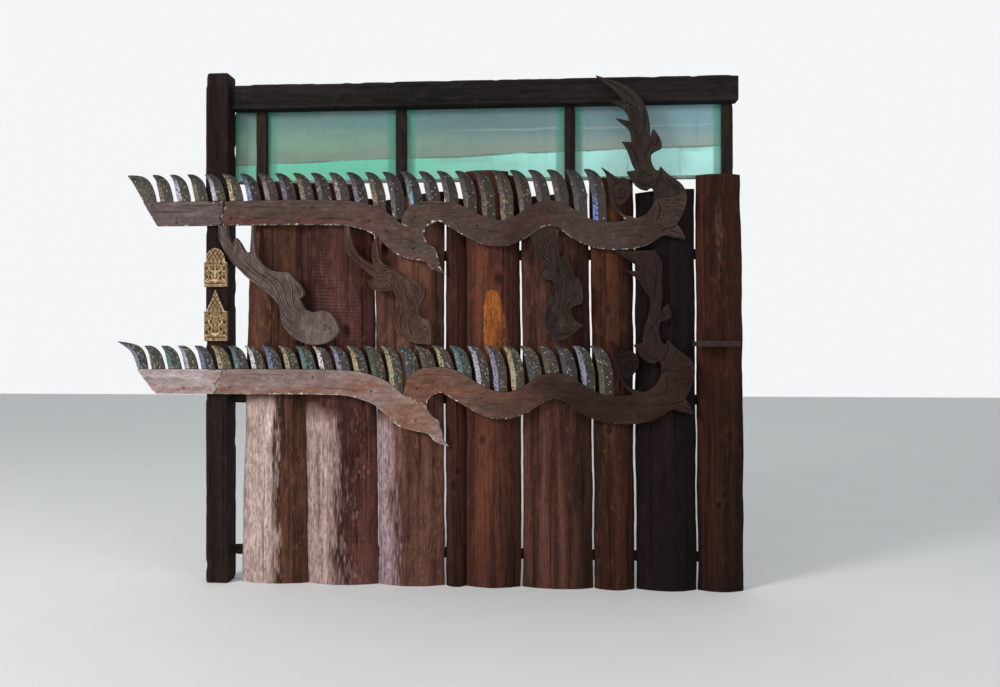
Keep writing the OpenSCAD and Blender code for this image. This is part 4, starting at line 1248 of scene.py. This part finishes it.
def fins(node, pairs, kept, shade_and_odd_share, seed):
    """All the fins of one board as one mesh, and their squares of glass as another."""
    start, end, back, front = outline(node)
    loops = loops_of(start, end)
    full = back - front - 0.001
    plain = max(loops[1:], key=lambda loop: loop[:, 1].max() - loop[:, 1].min())
    profile = side_profile(plain, plain[:, 1].max() - plain[:, 1].min() - 0.045)
    random = np.random.default_rng(seed)
    points, quads, caps, marks, grain, boxes, shades = [], [], [], [], [], [], []
    total, columns = 0, len(fin_u)
    for number, loop in enumerate(loops):
        own = profile
        if number == 0:
            own = side_profile(loop, loop[:, 1].max() - loop[:, 1].min() - 0.004)
        x, z = blade(loop, own)
        wear = mottle(x * 3, z, 0.02, seed + number)
        thick = thickness(fin_u, full)[None, :] - 0.0022 * wear * (0.4 + np.abs(fin_u - 0.5))
        face = np.stack([x, back - thick, z], -1)
        rear = face[:, ::-4].copy()
        rear[..., 1] = back
        grid = np.concatenate([face, rear], 1)
        n = grid.shape[1]
        index, faces = tube(fin_rows, n, total)
        quads.append(faces)
        for row, flip in ((0, -1), (fin_rows - 1, 1)):
            hub, ring = index[row, -2], index[row]
            fan = np.stack([np.full(n - 3, hub), np.roll(ring, 1)[:n - 3], ring[:n - 3]], -1)
            fan = np.concatenate([fan, [[hub, ring[n - 4], ring[n - 3]]]])
            caps.append(fan[:, ::flip])
        points.append(grid.reshape(-1, 3))
        total += fin_rows * n
        mark = np.zeros((fin_rows, n, 4))
        mark[..., 0] = 0.25
        mark[:, :columns, 0] = 0.35 * (1 - wear)
        mark[:, :columns, 1] = 1.6 * np.clip(np.abs(fin_u - 0.5) * 2 - 0.8, 0, 1)
        marks.append(mark.reshape(-1, 4))
        flat = grid.reshape(-1, 3)
        grain.append(np.stack([flat[:, 0] - x.mean(), flat[:, 1], flat[:, 2] + number * 1.7], -1))
        share = kept[0] + (kept[1] - kept[0]) * number / (len(loops) - 1)
        calm = 1 - 0.6 * number / (len(loops) - 1)
        box, shade = chips(x, z, full, back, front, pairs[number].split(), share,
                           (shade_and_odd_share[0], shade_and_odd_share[1] * calm, shade_and_odd_share[2]), random)
        boxes.append(box)
        shades.append(shade)
    piece(node + "_blades", np.concatenate(points), np.concatenate(quads), np.concatenate(caps),
          fin_lacquer, [node], np.concatenate(marks), np.concatenate(grain))
    boxes, shades = np.concatenate(boxes), np.concatenate(shades)
    sides = np.array([[0, 1, 2, 3], [7, 6, 5, 4], [0, 4, 5, 1], [1, 5, 6, 2], [2, 6, 7, 3], [3, 7, 4, 0]])
    faces = np.arange(len(boxes))[:, None, None] * 8 + sides[None]
    made = piece(node + "_glass", boxes.reshape(-1, 3), faces.reshape(-1, 4), [], mirror_glass,
                 [])
    tint = np.concatenate([np.repeat(shades, 8, axis=0), np.ones((len(shades) * 8, 1))], 1)
    made.data.attributes.new("tint", "FLOAT_COLOR", "POINT").data.foreach_set("color", tint.ravel())


def lacquer_paste(start):
    """Dark brittle paste over wood, greyer where the glass has dropped out."""
    grain = start.given("grain", 1)
    marks = start.given("marks")
    patch = grain.noise(60, 60, 46, 4, 0.6)
    cell = grain.noise(150, 150, 150, 2, 0.5)
    base = patch.ramp(0.4, 0.6).mix(rgb(38, 30, 28), rgb(64, 54, 48))
    base = (patch.ramp(0.60, 0.72) * 0.7).mix(base, rgb(100, 92, 82))
    base = (marks.part(1) * 0.6).mix(base, rgb(92, 80, 70))
    return {"Base Color": base.shaded((0.75 + 0.4 * cell) * (1 - 0.6 * marks.part(0))),
            "Roughness": cell.ramp(0.3, 0.7, 0.55, 0.85),
            "Normal": (patch * 0.5 + cell * 0.5).bump(0.6, 0.002)}


def mirror_squares(start):
    """Silvered glass, each square in its own colour, dulled by dust."""
    tint = start.given("tint")
    place = start.node("ShaderNodeTexCoord", None, None, 3)
    dust = place.noise(70, 70, 70, 3, 0.6)
    base = dust.ramp(0.46, 0.72, 0.05, 0.55).mix(tint, rgb(80, 70, 62))
    return {"Base Color": base, "Metallic": dust.ramp(0.7, 0.4, 0.1, 0.4),
            "Roughness": dust.ramp(0.35, 0.7, 0.34, 0.6)}


fin_lacquer = finish("fin_lacquer", lacquer_paste)
mirror_glass = finish("mirror_glass", mirror_squares)
# Painted shade darkens the upper courses of both rows, the upper row's more, and dims the whole upper row a
# little.
fins("upper_fins", upper_glass, (0.95, 0.80), (0.68, 0.03, 0.92), 91)
fins("lower_fins", lower_glass, (0.97, 0.90), (0.25, 0.11, 1.0), 92)


# Plaques: two small carved and gilded boards on the post, one domed and one spired. Each
# has a rim, rows of petals that step back towards the top, and drilled pits in its openwork.
def plaque_relief(foot, side, crown, pits, sprays):
    """A plaque's face: mouldings at the foot, an open panel between pits, petals above.

    Measures are in metres over the plaque's foot; petals are rows of round-topped scales,
    each row half a petal to the side of the one under it.
    """
    sprays = [curve(line) for line in sprays]
    mirrored = sprays + [line * [-1, 1] for line in sprays]

    def carve(x, z, far, lower):
        up = z - foot
        rim = bell(far - 0.0045, 0.0032)
        pitch, width = 0.020, 0.027
        height = np.full(len(x), -1.0)
        edge = np.zeros(len(x))
        for row in range(int((crown - side) / pitch) + 2):
            base = side + 0.012 + row * pitch
            shift = 0.5 * (row % 2)
            dx = (x / width + shift) - np.round(x / width + shift)
            arc = 1 - np.sqrt((dx / 0.5) ** 2 + (np.clip(up - base, 0, 1) / 0.017) ** 2)
            live = (up > base - 0.018) & (arc > 0)
            fresh = live & (height < 0)
            height = np.where(fresh, arc * 0.6 + 0.4 * np.clip((up - base + 0.018) / 0.036, 0, 1), height)
            edge = np.where(fresh, bell(arc, 0.16), edge)
        petal = np.where(height < 0, 0.35, np.clip(height, 0, 1))
        petal_sink = 0.0078 - 0.0062 * petal + 0.002 * edge
        panel_sink = 0.0060 + 0.0018 * (mottle(x, z, 0.007, 5) - 0.5)
        for line in mirrored:
            gap, which = nearest_edge(x, z - foot, line[:-1], line[1:])
            taper = 0.0042 * (1 - 0.6 * (which + 0.5) / len(line))
            panel_sink = panel_sink - 0.0046 * bell(gap, taper)
        blend = np.clip((up - side + 0.004) / 0.008, 0, 1)
        sink = panel_sink * (1 - blend) + petal_sink * blend
        band = bell(up - 0.014, 0.0045) + bell(up - 0.027, 0.003)
        sink = sink - 0.0035 * np.clip(band, 0, 1) + 0.002 * bell(up - 0.021, 0.0022)
        shoulder = bell(up - side, 0.0035)
        sink = sink - 0.003 * shoulder - 0.0035 * rim + 0.0012 * mottle(x, z, 0.012, 8)
        dark = np.clip(edge * blend + (panel_sink - 0.005) / 0.002 * (1 - blend) * 0.5, 0, 1) * (1 - rim)
        for pit_x, pit_z, reach in pits:
            for way in (-1, 1):
                gap = np.hypot(x - way * pit_x, (up - pit_z) * 0.8)
                pit = np.exp(-(gap / reach) ** 4)
                sink = sink + 0.009 * pit
                dark = np.maximum(dark, pit)
        marks = np.zeros((len(x), 4))
        # Painted shade in the cuts between petals and in the pits; painted highlights on what stands out.
        marks[:, 0] = dark
        marks[:, 1] = np.clip(1 - sink / 0.006, 0, 1)
        return np.clip(sink, 0, 0.02), marks
    return carve


def pale_gold_with_highlights(start):
    """Pale gold leaf over carved wood, with painted shade, dark brown, in the cuts and pits and painted cream
    highlights on what stands out.
    """
    grain = start.given("grain", 1)
    marks = start.given("marks")
    patch = grain.noise(55, 55, 55, 4, 0.6)
    speck = grain.noise(260, 260, 260, 2, 0.6)
    base = patch.ramp(0.35, 0.65).mix(rgb(104, 76, 42), rgb(146, 114, 68))
    base = (speck.ramp(0.52, 0.68) * 0.6).mix(base, rgb(84, 58, 34))
    bright = speck.ramp(0.4, 0.6).mix(rgb(236, 218, 180), rgb(196, 172, 128))
    base = marks.part(1).ramp(0.25, 0.75).mix(base, bright)
    base = marks.part(0).ramp(0.1, 0.7, 0.0, 0.96).mix(base, rgb(40, 25, 14))
    return {"Base Color": base, "Metallic": patch.ramp(0.5, 0.7, 0.05, 0.35),
            "Roughness": speck.ramp(0.3, 0.7, 0.42, 0.66),
            "Normal": (speck * 0.5 + patch * 0.5).bump(0.4, 0.001)}


gilding = finish("pale_gilding_with_highlights", pale_gold_with_highlights)
high_sprays = [
    [(0, 44), (18, 52), (26, 74), (14, 92), (2, 84), (6, 72)],
    [(8, 100), (30, 104), (42, 124), (30, 142), (14, 134), (18, 120)],
    [(62, 40), (48, 52), (44, 72), (54, 88)], [(62, 96), (50, 104), (48, 122), (60, 140)],
    [(0, 60), (0, 100), (0, 150)], [(0, 36), (26, 40), (52, 34), (66, 36)]]
high_pits = [
    (0.036, 0.060, 0.0058), (0.056, 0.064, 0.0052), (0.057, 0.118, 0.0062),
    (0.030, 0.088, 0.0048), (0.012, 0.112, 0.0045), (0.036, 0.150, 0.0045)]
low_sprays = [
    [(0, 44), (20, 50), (30, 72), (18, 92), (4, 84), (8, 70)],
    [(4, 100), (28, 102), (40, 124), (26, 146), (8, 136), (14, 118)],
    [(62, 40), (46, 54), (44, 78), (56, 96)], [(62, 104), (48, 114), (46, 136), (58, 154)],
    [(6, 152), (26, 156), (42, 172), (60, 168)], [(0, 36), (26, 40), (52, 34), (66, 36)]]
low_pits = [
    (0.058, 0.052, 0.0068), (0.037, 0.078, 0.0072), (0.058, 0.118, 0.0066), (0.014, 0.064, 0.0048),
    (0.030, 0.128, 0.0050), (0.012, 0.100, 0.0048), (0.040, 0.176, 0.0050), (0.020, 0.150, 0.004)]
for node, measures in (("plaque_high", (1.915, 0.160, 0.251, high_pits, high_sprays)),
                       ("plaque_low", (1.566, 0.192, 0.329, low_pits, low_sprays))):
    relief(node, plaque_relief(*measures), gilding, 0.0024, 0.0025)


# Panes: green-tinted sheet glass that stands on thin bars and lies in the studs' grooves,
# filmed with dust. A doubled strip of glass at each side of a pane looks deeper green.
def pane(node, seed):
    """A sheet as a grid on both faces, with the faint waves of old drawn glass."""
    low, high = [np.array(corner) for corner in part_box(node)]
    columns, rows = 60, 14
    x, z = np.meshgrid(
        np.linspace(low[0], high[0], columns), np.linspace(low[2], high[2], rows), indexing="ij")
    wave = 0.0007 * mottle(x, z * 0.5, 0.09, seed)
    inset = np.zeros_like(x)
    inset[[0, -1], :] = 0.0008
    inset[:, [0, -1]] = 0.0008
    front = np.stack([x, low[1] + wave + inset, z], -1)
    back = np.stack([x, high[1] - 0.0007 + wave - inset, z], -1)
    n = columns * rows
    points = np.concatenate([front.reshape(-1, 3), back.reshape(-1, 3)])
    index = np.arange(n).reshape(columns, rows)
    face = np.stack([index[:-1, :-1], index[1:, :-1], index[1:, 1:], index[:-1, 1:]], -1).reshape(-1, 4)
    around = np.concatenate([index[:, 0], index[-1, 1:], index[-2::-1, -1], index[0, -2:0:-1]])
    turned = np.roll(around, -1)
    rim = np.stack([around, around + n, turned + n, turned], -1)
    marks = np.zeros((2 * n, 4))
    side = np.minimum(x - low[0], high[0] - x).ravel()
    strip = min(0.062, 0.15 * (high[0] - low[0]))
    marks[:, 0] = np.tile(climb(side, strip, -0.004), 2)
    marks[:, 1] = np.tile((z.ravel() - low[2]) / (high[2] - low[2]), 2)
    marks[:, 2] = np.tile(x.ravel() / 3.3, 2)
    grain = points + [seed * 3.0, 0, 0]
    piece(node + "_sheet", points, np.concatenate([face, face[:, ::-1] + n, rim]), [], sheet_glass,
          [node], marks, grain)


def filmed_glass(start):
    """Green glass under a film of dust: greyer above and clear at the foot, where its colour is painted light
    for the daylight seen through it.
    """
    grain = start.given("grain", 1)
    marks = start.given("marks")
    strip, up, right = marks.part(0), marks.part(1), marks.part(2)
    smear = grain.noise(2.2, 1, 7, 4, 0.6, 0.3)
    drip = grain.noise(30, 1, 2.2, 3, 0.6)
    # The clear foot: the glass's green with painted daylight seen through it, near white towards the right
    # end.
    foot = right.ramp(0.25, 0.85).mix(rgb(84, 206, 166), rgb(184, 250, 242))
    film = right.ramp(0.2, 0.9).mix(rgb(110, 150, 128), rgb(162, 190, 178))
    level = up + smear * 0.06 - right * 0.2
    base = level.ramp(0.24, 0.28).mix(foot, film)
    top = right.mix(rgb(82, 124, 116), rgb(104, 146, 160))
    base = (up + smear * 0.3 + right * 0.25).ramp(0.72, 1.05, 0.0, 0.85).mix(base, top)
    # Painted shade about the middle of the panes and painted light at the right end, from what lies behind
    # the glass.
    behind_light_and_shade = (right - 0.57).size().ramp(0.05, 0.3, 0.22, 0.0) - right.ramp(0.8, 1.0, 0.0, 0.2)
    base = base.shaded(1 - behind_light_and_shade * level.ramp(0.25, 0.3))
    base = smear.ramp(0.52, 0.7, 0.0, 0.4).mix(base, rgb(136, 156, 144))
    clay = (level + smear * 0.4).ramp(0.44, 0.74, 0.5, 0.0) * level.ramp(0.25, 0.27)
    base = clay.mix(base, right.mix(rgb(96, 112, 86), rgb(128, 134, 120)))
    silt = (level + drip * 0.02 - 0.268).size().ramp(0.004, 0.018, 0.75, 0.0)
    base = (silt * smear.ramp(0.3, 0.5, 0.3, 1.0)).mix(base, rgb(54, 72, 60))
    tide = (up + smear * 0.12 - right * 0.06 - 0.72).size().ramp(0.004, 0.022, 0.4, 0.0)
    base = (tide * right.ramp(0.4, 0.6)).mix(base, rgb(168, 190, 182))
    base = (drip.ramp(0.55, 0.72) * 0.25).mix(base, rgb(96, 112, 98))
    base = (strip * 0.7).mix(base, rgb(50, 140, 116))
    film = (smear * 0.5 + drip * 0.3 + up * 0.35).ramp(0.2, 0.85, 0.62, 0.86)
    return {"Base Color": base, "Alpha": film + strip * 0.08, "Roughness": smear.ramp(0.3, 0.7, 0.12, 0.34)}


sheet_glass = finish("filmed_green_glass", filmed_glass)
# The glazing bars' pale green stands for the green light round the panes' feet: painted light.
green_lit_bar = painted_wood(
    "green_lit_bar", (96, 118, 106), (128, 156, 142), (150, 176, 162),
    (110, 120, 104), (150, 158, 148), greyness=0.3)
for number in range(1, 5):
    pane("pane_%d" % number, 100 + number)
    sawn_timber("glazing_bar_%d" % number, green_lit_bar, 0.003, 0.04, 110 + number)


# Shelf: a plain sawn ledge across the last slab, of the same dark wood as the last bracket.
# It rests against the slab's crest.
sawn_timber("small_shelf", dark_wood, 0.003, 0.02, 120)
